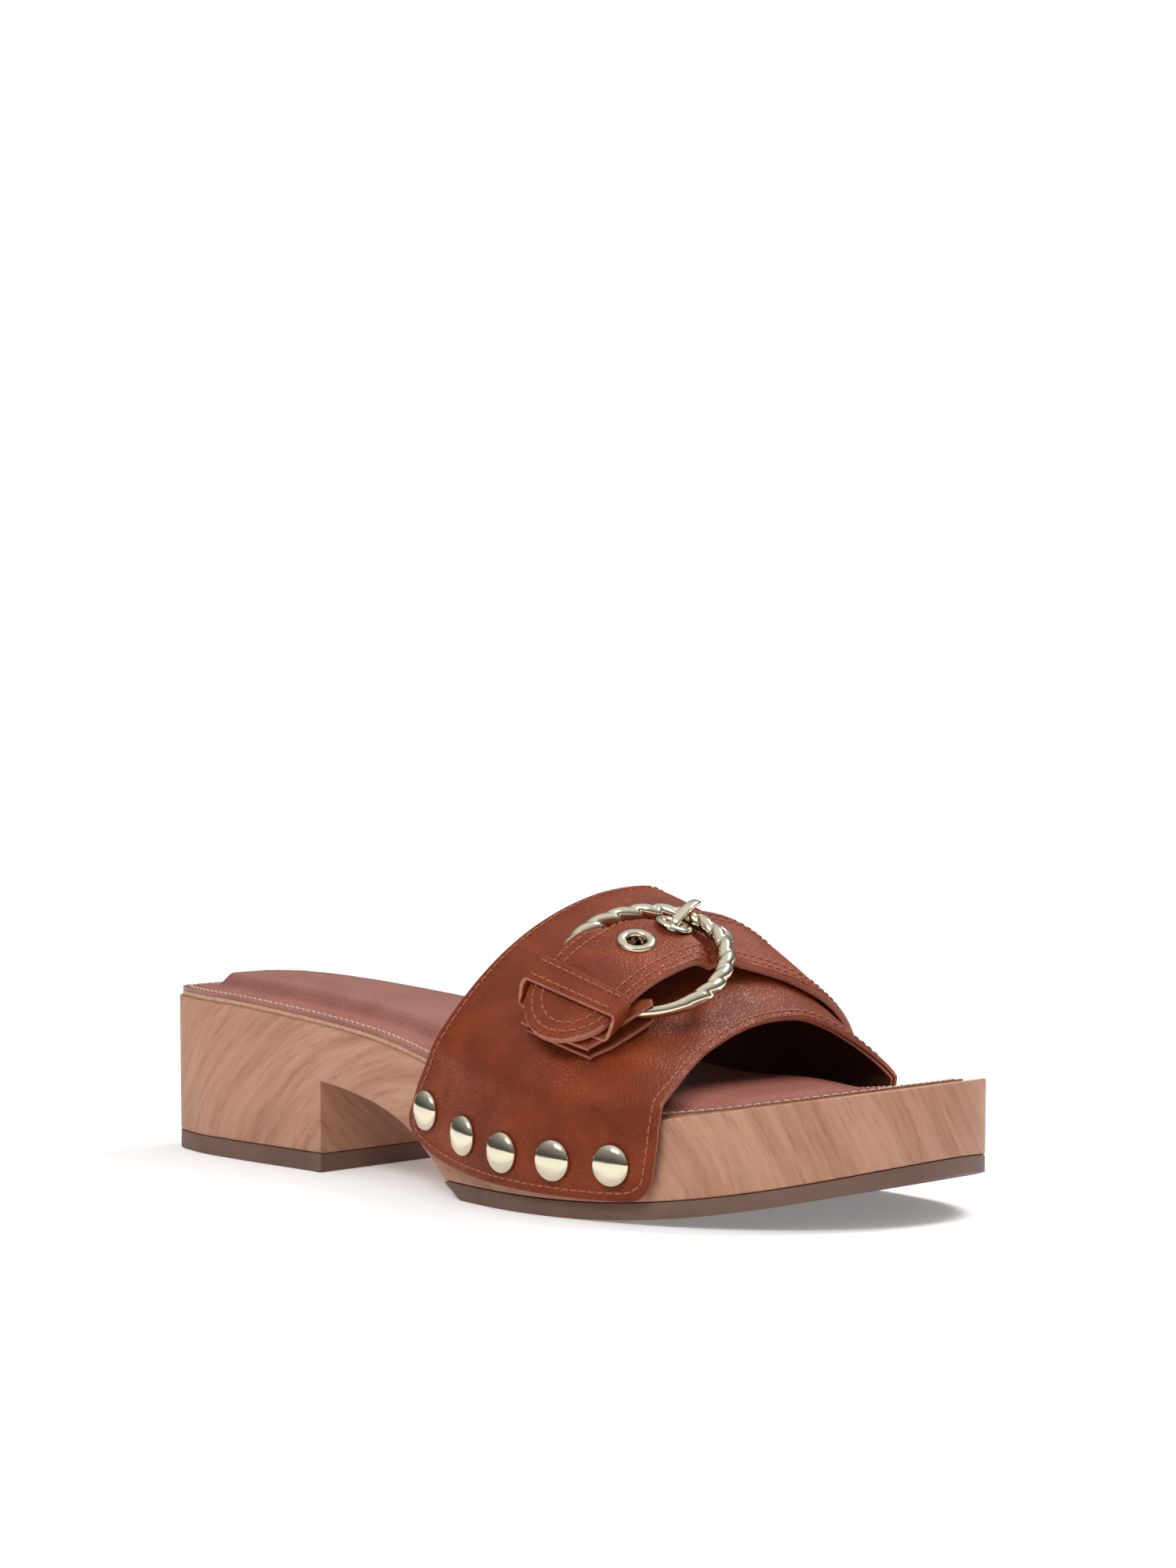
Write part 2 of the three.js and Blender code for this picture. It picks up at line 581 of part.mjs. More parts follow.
// The keeper leans toward the ring: over the strap it lies nearer the ring than between the chape's
// two layers.
const KEEPER_T = 0.1825;
const KEEPER_LEAN = 0.0245;
const KEEPER_ROOM = 0.5;
function keeperLoop() {
  const halfLength = KEEPER_WIDTH / 2 / millimetresPerTurn(KEEPER_T);
  const inner = STRAP_WIDTH / 2 + KEEPER_ROOM;
  const outer = inner + KEEPER_THICKNESS;
  const ring = (reach, floor, ceiling) => (t) => {
    const over = t + KEEPER_LEAN;
    const top = underStrap(over) + STRAP_THICKNESS + GAP + ceiling;
    const bottom = keeperFloor + floor;
    const ws = stations(-reach, reach, 4);
    return [...ws.map((w) => strapPoint(over, w, top)),
      ...ws.reverse().map((w) => strapPoint(t, w, bottom))];
  };
  return tunnel(ring(outer, 0, KEEPER_THICKNESS), ring(inner, KEEPER_THICKNESS, 0),
    KEEPER_T - halfLength, KEEPER_T + halfLength, 4);
}

// A closed sleeve between an outer and an inner loop of points, from one place to another.
function tunnel(outer, inner, from, to, steps) {
  const points = [];
  const index = [];
  const corners = outer(from).length;
  for (const loop of [outer, inner]) {
    for (const t of stations(from, to, steps)) loop(t).forEach((p) => points.push(...p.toArray()));
  }
  const half = (steps + 1) * corners;
  const quad = (a, b, c, d) => index.push(a, b, c, a, c, d);
  for (let j = 0; j < corners; j++) {
    const next = (j + 1) % corners;
    for (let i = 0; i < steps; i++) {
      const k = i * corners;
      quad(k + j, k + next, k + corners + next, k + corners + j);
      quad(half + k + j, half + k + corners + j, half + k + corners + next, half + k + next);
    }
    const last = steps * corners;
    quad(j, half + j, half + next, next);
    quad(last + j, last + next, half + last + next, half + last + j);
  }
  const geometry = new THREE.BufferGeometry();
  geometry.setAttribute('position', new THREE.Float32BufferAttribute(points, 3));
  geometry.setIndex(index);
  return geometry;
}

// The prong is a flat bar bent in one plane: an eye round the wire, then under the strap, up through
// an eyelet and over the far side of the ring.
function prong() {
  const eye = BAR_RADIUS + GAP + PRONG_THICKNESS / 2;
  const path = [];
  for (let degrees = -35; degrees >= -290; degrees -= 15) {
    const angle = THREE.MathUtils.degToRad(degrees);
    path.push([-RING_RADIUS + eye * Math.cos(angle), eye * Math.sin(angle)]);
  }
  const hump = WIRE_RADIUS + GAP + PRONG_THICKNESS / 2;
  const { x: ex, z: ez } = buckledEyelet();
  const bar = new THREE.SplineCurve([[-RING_RADIUS + 3, 1.2], [-10, 0.1], [ex - 10, ez - 2.6],
    [ex - 4.6, ez - 2.8], [ex - 1.9, ez - 2.2], [ex - 0.5, ez - 0.9], [ex + 0.3, ez + 0.5],
    [ex + 1.6, ez + 1.6], [ex + 3.6, hump + 0.2], [RING_RADIUS, hump + 0.2],
    [RING_RADIUS + 2.8, 2.6], [RING_RADIUS + 4.6, 1.5]]
    .map(([x, z]) => new THREE.Vector2(x, z)));
  bar.getPoints(40).forEach((p) => path.push([p.x, p.y]));
  const side = (direction) => path.map(([x, z], i) => {
    const [bx, bz] = path[Math.max(i - 1, 0)];
    const [ax, az] = path[Math.min(i + 1, path.length - 1)];
    const reach = direction * PRONG_THICKNESS / 2 / Math.hypot(ax - bx, az - bz);
    return new THREE.Vector2(x - (az - bz) * reach, z + (ax - bx) * reach);
  });
  const shape = new THREE.Shape([...side(1), ...side(-1).reverse()]);
  const geometry = new THREE.ExtrudeGeometry(shape, { depth: PRONG_WIDTH, bevelEnabled: false });
  geometry.rotateX(Math.PI / 2);
  geometry.translate(0, PRONG_WIDTH / 2 + buckledEyelet().y, 0);
  return geometry.applyMatrix4(ringFrame());
}

const group = new THREE.Group();
function add(name, shape, colour, roughness, metalness) {
  const geometry = shape.isBufferGeometry ? shape : geometryOf(shape);
  const material = new THREE.MeshStandardMaterial({ color: colour, roughness, metalness });
  const mesh = new THREE.Mesh(geometry, material);
  mesh.name = name;
  group.add(mesh);
}

const WOOD = 0xb28568;
const RUBBER = 0x6a4e42;
const LEATHER = 0x8a4a30;
const LINING = 0x7a4535;
const SOCK = 0x9a6258;
const BOARD = 0xd9c3a0;
const FOAM = 0xe6dccb;
const METAL = 0xdccdaf;

add('wooden_sole', woodenSole(), WOOD, 0.6, 0);
add('heel_top_piece', heelTopPiece(), RUBBER, 0.8, 0);
add('forefoot_outsole', forefootOutsole(), RUBBER, 0.8, 0);
add('footbed_board', footbedBoard(), BOARD, 0.8, 0);
add('footbed_foam', footbedFoam(), FOAM, 0.9, 0);
add('insole_sock', insoleSock(), SOCK, 0.5, 0);
add('vamp_outer', vampOuter(), LEATHER, 0.45, 0);
add('vamp_lining', vampLining(), LINING, 0.6, 0);
studFrames.forEach((frame, i) => {
  const side = i < STUD_STATIONS.length ? 'outer' : 'inner';
  add(`stud_${side}_${i % STUD_STATIONS.length + 1}`, stud(frame), METAL, 0.2, 1);
});
add('buckle_strap', buckleStrap(), LEATHER, 0.45, 0);
add('chape', chape(), LEATHER, 0.45, 0);
add('keeper_loop', keeperLoop(), LEATHER, 0.45, 0);
EYELET_T.forEach((t, i) => add(`eyelet_${i + 1}`, eyelet(t), METAL, 0.2, 1));
add('ring_buckle', ringBuckle(), METAL, 0.2, 1);
add('prong', prong(), METAL, 0.2, 1);

// The origin is on the ground, under the middle of the whole clog.
const bounds = new THREE.Box3().setFromObject(group);
const middle = bounds.getCenter(V(0, 0, 0));
group.position.set(-middle.x, -middle.y, -bounds.min.z);

export default group;
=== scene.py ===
# A right-foot wooden clog: carved wooden sole with rubber treads, padded leather footbed, and a leather
# vamp nailed on with dome studs, closed by a strap and a twisted ring buckle.
import math

import bmesh
import bpy
import numpy as np
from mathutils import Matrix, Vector


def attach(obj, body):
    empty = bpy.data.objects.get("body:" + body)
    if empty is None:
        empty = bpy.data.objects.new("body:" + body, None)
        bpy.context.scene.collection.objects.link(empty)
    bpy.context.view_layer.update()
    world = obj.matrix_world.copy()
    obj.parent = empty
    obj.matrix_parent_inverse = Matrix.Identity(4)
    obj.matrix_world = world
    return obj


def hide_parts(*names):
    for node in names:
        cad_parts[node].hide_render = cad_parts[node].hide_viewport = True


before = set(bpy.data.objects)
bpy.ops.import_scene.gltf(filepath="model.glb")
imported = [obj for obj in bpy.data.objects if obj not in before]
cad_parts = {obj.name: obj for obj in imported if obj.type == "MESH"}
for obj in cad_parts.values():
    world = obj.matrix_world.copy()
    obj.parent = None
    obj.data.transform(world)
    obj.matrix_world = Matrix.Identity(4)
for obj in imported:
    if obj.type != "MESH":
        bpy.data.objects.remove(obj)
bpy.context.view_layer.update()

# ---- Camera, table and lamps ------------------------------------------------------------------------
# The clog stands on a plain white table in a soft studio: one broad lamp high in front, a long
# one high behind, and walls that are dark low down and white above.
scene = bpy.context.scene
camera = bpy.data.objects.new("camera", bpy.data.cameras.new("camera"))
scene.collection.objects.link(camera)
scene.camera = camera
camera.data.sensor_width = 36
camera.data.lens = 80.35
camera.data.shift_x = 0.0269
camera.data.shift_y = 0.2032
toward_camera = Vector((0.6720, -0.7321, 0.1113)).normalized()
camera.location = Vector((0.00075, 0.00173, 0.0200)) + toward_camera * 0.9
camera.rotation_mode = "QUATERNION"
camera.rotation_quaternion = (-toward_camera).to_track_quat("-Z", "Y")
camera.data.clip_start = 0.01
scene.view_settings.view_transform = "Standard"


def tone(red, green, blue):
    """A paint colour from 0-255 screen values, as the linear colour a shader takes."""
    return tuple(((c / 255 + 0.055) / 1.055) ** 2.4 for c in (red, green, blue)) + (1.0,)


def knit(tree, kind, settings=(), links=()):
    """One shader node: its settings by name, its inputs by value or by another node's socket."""
    node = tree.nodes.new(kind)
    for key, value in dict(settings).items():
        setattr(node, key, value)
    for key, value in dict(links).items():
        if isinstance(value, bpy.types.NodeSocket):
            tree.links.new(value, node.inputs[key])
        else:
            node.inputs[key].default_value = value
    return node


def finish(name, colour, roughness, metallic=0.0):
    """A new finish: its material, shader and node tree, and the place of each point on its piece."""
    material = bpy.data.materials.new(name)
    material.use_nodes = True
    tree = material.node_tree
    shader = tree.nodes["Principled BSDF"]
    shader.inputs["Base Color"].default_value = colour
    shader.inputs["Roughness"].default_value = roughness
    shader.inputs["Metallic"].default_value = metallic
    material.diffuse_color = colour
    return material, shader, tree, knit(tree, "ShaderNodeTexCoord").outputs["Object"]


def piece_from(name, points, faces, materials, face_finish=None, crease=38):
    """A mesh piece in the clog's frame from points in metres, smooth but for edges bent past an angle."""
    mesh = bpy.data.meshes.new(name)
    mesh.from_pydata([tuple(p) for p in points], [], faces)
    for material in materials:
        mesh.materials.append(material)
    if face_finish is not None:
        mesh.polygons.foreach_set("material_index", np.array(face_finish, np.int32))
    work = bmesh.new()
    work.from_mesh(mesh)
    bmesh.ops.remove_doubles(work, verts=work.verts, dist=2e-6)
    bmesh.ops.recalc_face_normals(work, faces=work.faces)
    for face in work.faces:
        face.smooth = True
    for edge in work.edges:
        if len(edge.link_faces) == 2:
            edge.smooth = edge.calc_face_angle(0) < math.radians(crease)
    work.to_mesh(mesh)
    work.free()
    piece = bpy.data.objects.new(name, mesh)
    scene.collection.objects.link(piece)
    return piece


table_paint, table_shader, cloth, on_table = finish("table_paint", (0.86, 0.86, 0.86, 1), 0.9)
table_shader.inputs["Emission Color"].default_value = (1, 1, 1, 1)
away = knit(cloth, "ShaderNodeVectorMath", {"operation": "LENGTH"}, {0: on_table}).outputs["Value"]
glow = knit(cloth, "ShaderNodeMapRange", {}, {"Value": away, "From Min": 0.25, "From Max": 1.2,
                                              "To Min": 0.2, "To Max": 0.7})
cloth.links.new(glow.outputs[0], table_shader.inputs["Emission Strength"])
TABLE_RADIUS = 40
rim_turn = np.linspace(0, 2 * math.pi, 65)[:-1]
rim_points = [(TABLE_RADIUS * math.cos(a), TABLE_RADIUS * math.sin(a), 0.0) for a in rim_turn]
table = piece_from("table", rim_points, [tuple(range(64))], [table_paint])
world = bpy.data.worlds.new("white_walls")
world.use_nodes = True
walls = world.node_tree
seen = walls.nodes["Background"]
seen.inputs["Color"].default_value = (1, 1, 1, 1)
toward_wall = knit(walls, "ShaderNodeTexCoord").outputs["Generated"]
height = knit(walls, "ShaderNodeSeparateXYZ", {}, {0: toward_wall}).outputs["Z"]
dim = knit(walls, "ShaderNodeValToRGB", {}, {"Fac": height})
for place, grey in ((0.0, 0.05), (0.1, 0.1), (0.3, 0.25), (0.55, 0.42), (0.8, 0.8)):
    stop = dim.color_ramp.elements.new(place)
    stop.color = (grey, grey, grey, 1)
dim.color_ramp.elements.remove(dim.color_ramp.elements[0])
lit = knit(walls, "ShaderNodeBackground", {}, {"Color": dim.outputs["Color"]})
to_camera = knit(walls, "ShaderNodeLightPath").outputs["Is Camera Ray"]
both = knit(walls, "ShaderNodeMixShader", {}, {0: to_camera, 1: lit.outputs[0], 2: seen.outputs[0]})
walls.links.new(both.outputs[0], walls.nodes["World Output"].inputs["Surface"])
scene.world = world


def lamp(name, place, aim, wide, high, watts):
    """A soft rectangular studio lamp."""
    light = bpy.data.lights.new(name, "AREA")
    light.shape = "RECTANGLE"
    light.size = wide
    light.size_y = high
    light.energy = watts
    holder = bpy.data.objects.new(name, light)
    scene.collection.objects.link(holder)
    holder.location = place
    holder.rotation_mode = "QUATERNION"
    holder.rotation_quaternion = (Vector(aim) - Vector(place)).to_track_quat("-Z", "Y")


lamp("lamp_front", (0.15, -0.85, 0.95), (0, 0, 0.03), 0.6, 0.4, 7.5)
lamp("lamp_behind", (0.3, 0.75, 1.15), (0.02, 0, 0.03), 0.8, 0.4, 15)

# ---- Wooden sole ------------------------------------------------------------------------------------
# One block of light hardwood, band-sawn to the foot's outline and then sanded to a flat heel, an open
# arch and a toe that turns up. The grain runs over it in long arches and its rims are eased by hand.
GAP = 0.3
SOLE_LENGTH = 249.0
HEEL_TREAD = 5.1
FOREFOOT_TREAD = 4.2
ARCH_START = 72.4
WOOD_START = 128.8
TREAD_START = 135.6
FRAME_SHIFT = np.array([-124.252, 1.7255, 0.0])
SOLE_OUTLINE = [
    (0, 0), (2, -15.5), (15.5, -22.5), (35, -26), (65, -29), (95, -32.5), (128, -41), (160, -48),
    (190, -45.5), (214, -39), (234, -26.5), (245.5, -9), (248.5, 12), (243.5, 27), (231.5, 36.5),
    (212, 41.5), (185, 44), (160, 42.5), (130, 37.5), (95, 31), (65, 29.5), (35, 28), (14.5, 25),
    (3, 15),
]


def in_frame(points):
    """Millimetres from the back of the heel, as metres in the clog's own frame."""
    return (np.asarray(points, float) + FRAME_SHIFT) / 1000


def graded(pairs):
    """A smooth value through (station, value) pairs, straight beyond the ends."""
    x, y = np.array(pairs, float).T
    step = np.diff(y) / np.diff(x)
    slope = np.concatenate([[step[0]], np.zeros(len(x) - 2), [step[-1]]])
    turning = step[:-1] * step[1:] > 0
    slope[1:-1][turning] = (2 * step[:-1] * step[1:] / (step[:-1] + step[1:] + 1e-12))[turning]

    def value(at):
        at = np.asarray(at, float)
        i = np.clip(np.searchsorted(x, at, side="right") - 1, 0, len(x) - 2)
        h = x[i + 1] - x[i]
        u = np.clip((at - x[i]) / h, 0, 1)
        low = (1 + 2 * u) * (1 - u) ** 2 * y[i] + u * (1 - u) ** 2 * h * slope[i]
        high = u * u * (3 - 2 * u) * y[i + 1] - u * u * (1 - u) * h * slope[i + 1]
        before = np.minimum(at - x[0], 0) * slope[0]
        return low + high + before + np.maximum(at - x[-1], 0) * slope[-1]

    return value


def unit(vectors):
    """The same vectors, each one long."""
    return vectors / (np.linalg.norm(vectors, axis=-1, keepdims=True) + 1e-9)


def lengths(points):
    """How far along a line of points each one is."""
    return np.concatenate([[0], np.cumsum(np.linalg.norm(np.diff(points, axis=0), axis=1))])


def smoothstep(at, low, high):
    u = np.clip((np.asarray(at, float) - low) / (high - low), 0, 1)
    return u * u * (3 - 2 * u)


def outline_curve(knots, steps):
    """A closed curve through the outline's knots, evenly spaced."""
    p = np.array(knots, float)
    curve = []
    for i in range(len(p)):
        a, b, c, d = p[i - 1], p[i], p[(i + 1) % len(p)], p[(i + 2) % len(p)]
        ab, bc, cd = [math.sqrt(np.linalg.norm(q)) for q in (b - a, c - b, d - c)]
        into = ((b - a) / ab - (c - a) / (ab + bc) + (c - b) / bc) * bc
        away = ((c - b) / bc - (d - b) / (bc + cd) + (d - c) / cd) * bc
        for u in np.linspace(0, 1, 24, endpoint=False):
            curve.append(b + into * u + (3 * c - 3 * b - 2 * into - away) * u * u
                         + (2 * b - 2 * c + into + away) * u ** 3)
    curve = np.array(curve + curve[:1])
    run = lengths(curve)
    at = np.linspace(0, run[-1], steps, endpoint=False)
    return np.stack([np.interp(at, run, curve[:, k]) for k in (0, 1)], 1)


outline = outline_curve(SOLE_OUTLINE, 720)


def offset_outline(distance):
    """The outline moved outwards, or inwards where the distance is below zero."""
    tangent = unit(np.roll(outline, -1, 0) - np.roll(outline, 1, 0))
    return outline + np.stack([tangent[:, 1], -tangent[:, 0]], 1) * np.reshape(distance, (-1, 1))


def edge_lines(points):
    """The outer and inner sides of an outline, each as a function of the station along the foot."""
    heel, toe = points[:, 0].argmin(), points[:, 0].argmax()
    outer = np.roll(points, -heel, 0)[: (toe - heel) % len(points) + 1]
    inner = np.roll(points, -toe, 0)[: (heel - toe) % len(points) + 1][::-1]
    return [lambda x, s=side: np.interp(x, s[:, 0], s[:, 1]) for side in (outer, inner)]


rim_height = graded([(0, 42.4), (30, 41.7), (62, 39.6), (90, 36.8), (120, 32.2), (150, 25.6),
                     (180, 22.3), (210, 26.9), (250, 33.8)])
arch_height = graded([(72.4, 23.9), (79.7, 23.1), (87.6, 21.7), (96.1, 20.0), (105.1, 17.4),
                      (113, 14.4), (120.3, 10.1), (128.8, 4.4)])


def tread_height(x):
    return np.maximum(0, np.asarray(x, float) - 170) ** 2 / 540


def wood_underside(x):
    arch = np.where(x > WOOD_START, FOREFOOT_TREAD + tread_height(x), arch_height(x))
    return np.where(x < ARCH_START + 0.001, HEEL_TREAD, arch)


def tube_faces(rows, sides, closed=False, start=0):
    """Quads round a tube that is stacked up from rings of points, or that closes on itself."""
    faces = []
    for row in range(rows if closed else rows - 1):
        for k in range(sides):
            a, b, up = row * sides + k, row * sides + (k + 1) % sides, (row + 1) % rows * sides
            faces.append((start + a, start + b, start + up + (k + 1) % sides, start + up + k))
    return faces


def sole_layer(name, points, stations, low, high, eased, materials):
    """A layer of the sole, shaped to an outline: its walls, and its two faces with eased rims."""
    outer_side, inner_side = edge_lines(points)
    xs = np.concatenate([stations, stations[::-1]])
    ring = np.stack([xs, np.concatenate([outer_side(stations), inner_side(stations[::-1])])], 1)
    tangent = unit(np.roll(ring, -2, 0) - np.roll(ring, 2, 0))
    inward = np.stack([-tangent[:, 1], tangent[:, 0]], 1)
    bottom, top = low(xs), high(xs)
    turns = [math.radians(a) for a in (0, 30, 60, 90)]
    steps = [(eased * (1 - math.sin(a)), eased * (1 - math.cos(a)), 0) for a in turns]
    steps += [(eased * (1 - math.cos(a)), eased * (1 - math.sin(a)), 1) for a in turns]
    points3 = []
    for inset, lift, upper in steps:
        flat = ring + inward * inset
        z = top - lift if upper else bottom + lift
        points3.append(np.column_stack([flat, z]))
    count = len(ring)
    faces = tube_faces(len(steps), count)
    last = (len(steps) - 1) * count
    for i in range(count // 2 - 1):
        j = count - 1 - i
        faces.append((i, j, j - 1, i + 1))
        faces.append((last + i, last + i + 1, last + j - 1, last + j))
    return piece_from(name, in_frame(np.concatenate(points3)), faces, materials)


def spread(low, high, count):
    """Stations packed closer towards both ends."""
    return low + (high - low) * (0.5 - 0.5 * np.cos(np.linspace(0, math.pi, count)))


def shades(tree, factor, stops):
    """A colour ramp fed by a factor."""
    ramp = knit(tree, "ShaderNodeValToRGB", {}, {"Fac": factor})
    band = ramp.color_ramp
    while len(band.elements) < len(stops):
        band.elements.new(0.5)
    for element, (place, colour) in zip(band.elements, stops):
        element.position = place
        element.color = colour
    return ramp.outputs["Color"]


def sums(tree, operation, a, b=0.0):
    return knit(tree, "ShaderNodeMath", {"operation": operation}, {0: a, 1: b}).outputs[0]


def roughen(tree, shader, height, distance, strength=1.0, below=None):
    """Bump from a height, in metres, over any bump below it."""
    links = {"Height": height, "Distance": distance, "Strength": strength}
    bump = knit(tree, "ShaderNodeBump", {}, links)
    if below is not None:
        tree.links.new(below, bump.inputs["Normal"])
    tree.links.new(bump.outputs["Normal"], shader.inputs["Normal"])
    return bump.outputs["Normal"]


def noise(tree, vector, scale, detail=3.0, rough=0.55, distortion=0.0):
    links = {"Vector": vector, "Scale": scale, "Detail": detail, "Roughness": rough,
             "Distortion": distortion}
    return knit(tree, "ShaderNodeTexNoise", {}, links).outputs["Fac"]


def wood_finish():
    """Sanded hardwood: long arched grain with fine dark pores."""
    material, shader, tree, place = finish("sanded_wood", tone(176, 131, 106), 0.6)
    wander = knit(tree, "ShaderNodeTexNoise", {}, {"Vector": place, "Scale": 11.0, "Detail": 2.0})
    shift = knit(tree, "ShaderNodeVectorMath", {"operation": "MULTIPLY_ADD"},
                 {0: wander.outputs["Color"], 1: (0.03, 0.01, 0.012), 2: place})
    split = knit(tree, "ShaderNodeSeparateXYZ", {}, {0: shift.outputs[0]})
    along = sums(tree, "DIVIDE", split.outputs["X"], 1.75)
    up = sums(tree, "ADD", split.outputs["Z"], 0.004)
    reach = sums(tree, "POWER", sums(tree, "ADD", sums(tree, "MULTIPLY", along, along),
                                     sums(tree, "MULTIPLY", up, up)), 0.5)
    turn = sums(tree, "ARCTAN2", up, along)
    rings = sums(tree, "ADD", sums(tree, "MULTIPLY", reach, 100.0),
                 sums(tree, "MULTIPLY", split.outputs["Y"], 60.0))
    grain = knit(tree, "ShaderNodeCombineXYZ", {}, {
        "X": rings, "Y": sums(tree, "MULTIPLY", turn, 0.55),
        "Z": sums(tree, "MULTIPLY", split.outputs["Y"], 2.0)}).outputs[0]
    bands = noise(tree, grain, 1.5, 3.0, 0.6)
    lines = noise(tree, grain, 8.0, 6.0, 0.75)
    colour = shades(tree, bands, [(0.3, tone(160, 113, 88)), (0.44, tone(172, 126, 100)),
                                  (0.6, tone(184, 138, 112)), (0.78, tone(168, 121, 96))])
    streak = shades(tree, lines, [(0.34, tone(168, 124, 102)), (0.46, tone(232, 220, 212)),
                                  (0.6, tone(255, 250, 247)), (0.75, tone(236, 226, 219))])
    mixed = knit(tree, "ShaderNodeMixRGB", {"blend_type": "MULTIPLY"},
                 {"Fac": 0.5, "Color1": colour, "Color2": streak})
    tree.links.new(mixed.outputs["Color"], shader.inputs["Base Color"])
    roughen(tree, shader, lines, 0.00022, 0.5)
    return material


sanded_wood = wood_finish()
sole_stations = np.unique(np.concatenate([
    spread(outline[:, 0].min(), outline[:, 0].max(), 220),
    [ARCH_START, ARCH_START + 0.02, WOOD_START, TREAD_START]]))
wooden_sole = sole_layer("wooden_sole_carved", outline, sole_stations, wood_underside, rim_height,
                         0.55, [sanded_wood])
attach(wooden_sole, "clog")
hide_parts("wooden_sole")

# ---- Rubber treads ----------------------------------------------------------------------------------
# Two flat pieces of brown rubber, moulded, cut to the sole's outline and cemented on: a lift under the
# heel and a thinner sheet under the forefoot that follows the toe up.


def speckled(name, colour, roughness, grain, stops, bump, patches=None):
    """A matt finish: a fine grain for its bump, and for its colour too unless it has patches."""
    material, shader, tree, place = finish(name, tone(*colour), roughness)
    fine = noise(tree, place, *grain)
    marks = fine if patches is None else noise(tree, place, *patches)
    stops = [(at, tone(*shade)) for at, shade in stops]
    tree.links.new(shades(tree, marks, stops), shader.inputs["Base Color"])
    roughen(tree, shader, fine, *bump)
    return material


moulded_rubber = speckled("moulded_rubber", (104, 76, 63), 0.62, (900.0, 4.0, 0.7),
                          [(0.35, (96, 69, 57)), (0.65, (112, 83, 69))], (0.00008, 0.6), (40.0, 3.0))
heel_stations = np.append(spread(outline[:, 0].min(), 2 * ARCH_START, 120), ARCH_START)
heel_stations = np.unique(heel_stations[heel_stations <= ARCH_START])
heel_lift = sole_layer("heel_lift", outline, heel_stations, lambda x: x * 0.0,
                       lambda x: x * 0 + HEEL_TREAD - GAP / 2, 0.35, [moulded_rubber])
fore_stations = spread(2 * TREAD_START - SOLE_LENGTH, outline[:, 0].max(), 200)
fore_stations = np.unique(np.append(fore_stations[fore_stations > WOOD_START], WOOD_START))


def forefoot_low(x):
    ramp = (FOREFOOT_TREAD - GAP) * np.clip((TREAD_START - x) / (TREAD_START - WOOD_START), 0, 1)
    return tread_height(x) + ramp * 0.93


forefoot_tread = sole_layer("forefoot_tread", outline, fore_stations, forefoot_low,
                            lambda x: tread_height(x) + FOREFOOT_TREAD - GAP / 2, 0.12,
                            [moulded_rubber])
for tread, node in ((heel_lift, "heel_top_piece"), (forefoot_tread, "forefoot_outsole")):
    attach(tread, "clog")
    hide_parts(node)

# ---- Footbed board ----------------------------------------------------------------------------------
# A thin pressed-fibre board glued to the wood. The sock is sewn to its rim, and its pale cut edge shows
# as a light line above the wood.
BOARD_THICKNESS = 1.0
FOOTBED_INSET = 0.9
TOE_INSET = 5.5
FOAM_END = 184.0
FOAM_FADE = 28.0


def footbed_outline(inset):
    """The footbed's outline, a little inside the wood's rim and further in round the toe."""
    share = smoothstep(outline[:, 0], FOAM_END, FOAM_END + FOAM_FADE)
    return offset_outline(-(inset + (TOE_INSET - FOOTBED_INSET) * share))


def skived(x):
    """The share of its thickness that the footbed keeps: it is pared thin under the toes."""
    return 1 - 0.72 * smoothstep(x, FOAM_END, FOAM_END + FOAM_FADE)


fibre_board = speckled("fibre_board", (186, 146, 116), 0.85, (700.0, 5.0, 0.75),
                       [(0.35, (168, 128, 100)), (0.6, (192, 152, 122))], (0.00012, 0.7))
board_outline = footbed_outline(FOOTBED_INSET)
board_stations = spread(board_outline[:, 0].min(), board_outline[:, 0].max(), 160)
board = sole_layer("board", board_outline, board_stations, lambda x: rim_height(x) + 0.05,
                   lambda x: rim_height(x) + (GAP + BOARD_THICKNESS) * skived(x), 0.12,
                   [fibre_board])
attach(board, "clog")
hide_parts("footbed_board")

# ---- Foam pad and leather sock ----------------------------------------------------------------------
# A soft foam pad lies on the board from the heel to the ball of the foot. A rosy leather sock is
# stretched over it and sewn down along a flat rim, so the foam stands up inside it as a low cushion.
SOCK_THICKNESS = 0.9
FOAM_THICKNESS = 3.5
CUSHION_INSET = 10.0
CUSHION_BEVEL = 4.5
BOARD_TOP = GAP + BOARD_THICKNESS
SWELL_LIMIT = 0.0009


def distance_inside(x, y):
    """How far a point of the footbed is from the sole's outline."""
    a, b = outline, np.roll(outline, -1, 0)
    span = b - a
    p = np.stack([x.ravel(), y.ravel()], 1)[:, None, :]
    u = np.clip(((p - a) * span).sum(2) / (span ** 2).sum(1), 0, 1)
    return np.linalg.norm(p - a - span * u[..., None], axis=2).min(1).reshape(x.shape)


def cushion_rise(x, y):
    """0 on the stitched rim, 1 on the flat of the cushion."""
    start = FOAM_END + 2 * GAP
    fade = 1 - smoothstep(x, start, start + FOAM_FADE)
    return smoothstep((distance_inside(x, y) - CUSHION_INSET) / CUSHION_BEVEL, 0, 1) * fade


def sheet_faces(na, nb, flip=False, start=0):
    """Quads of a grid of na by nb points."""
    faces = []
    for i in range(na - 1):
        for j in range(nb - 1):
            k = start + i * nb + j
            quad = (k, k + nb, k + nb + 1, k + 1)
            faces.append(quad[::-1] if flip else quad)
    return faces


def rim_faces(na, nb, half):
    """Quads that close two stacked grids round their rims."""
    loop = [i * nb for i in range(na)] + [(na - 1) * nb + j for j in range(1, nb)]
    loop += [i * nb + nb - 1 for i in range(na - 2, -1, -1)] + list(range(nb - 2, 0, -1))
    return [(a, b, half + b, half + a) for a, b in zip(loop, loop[1:] + loop[:1])]


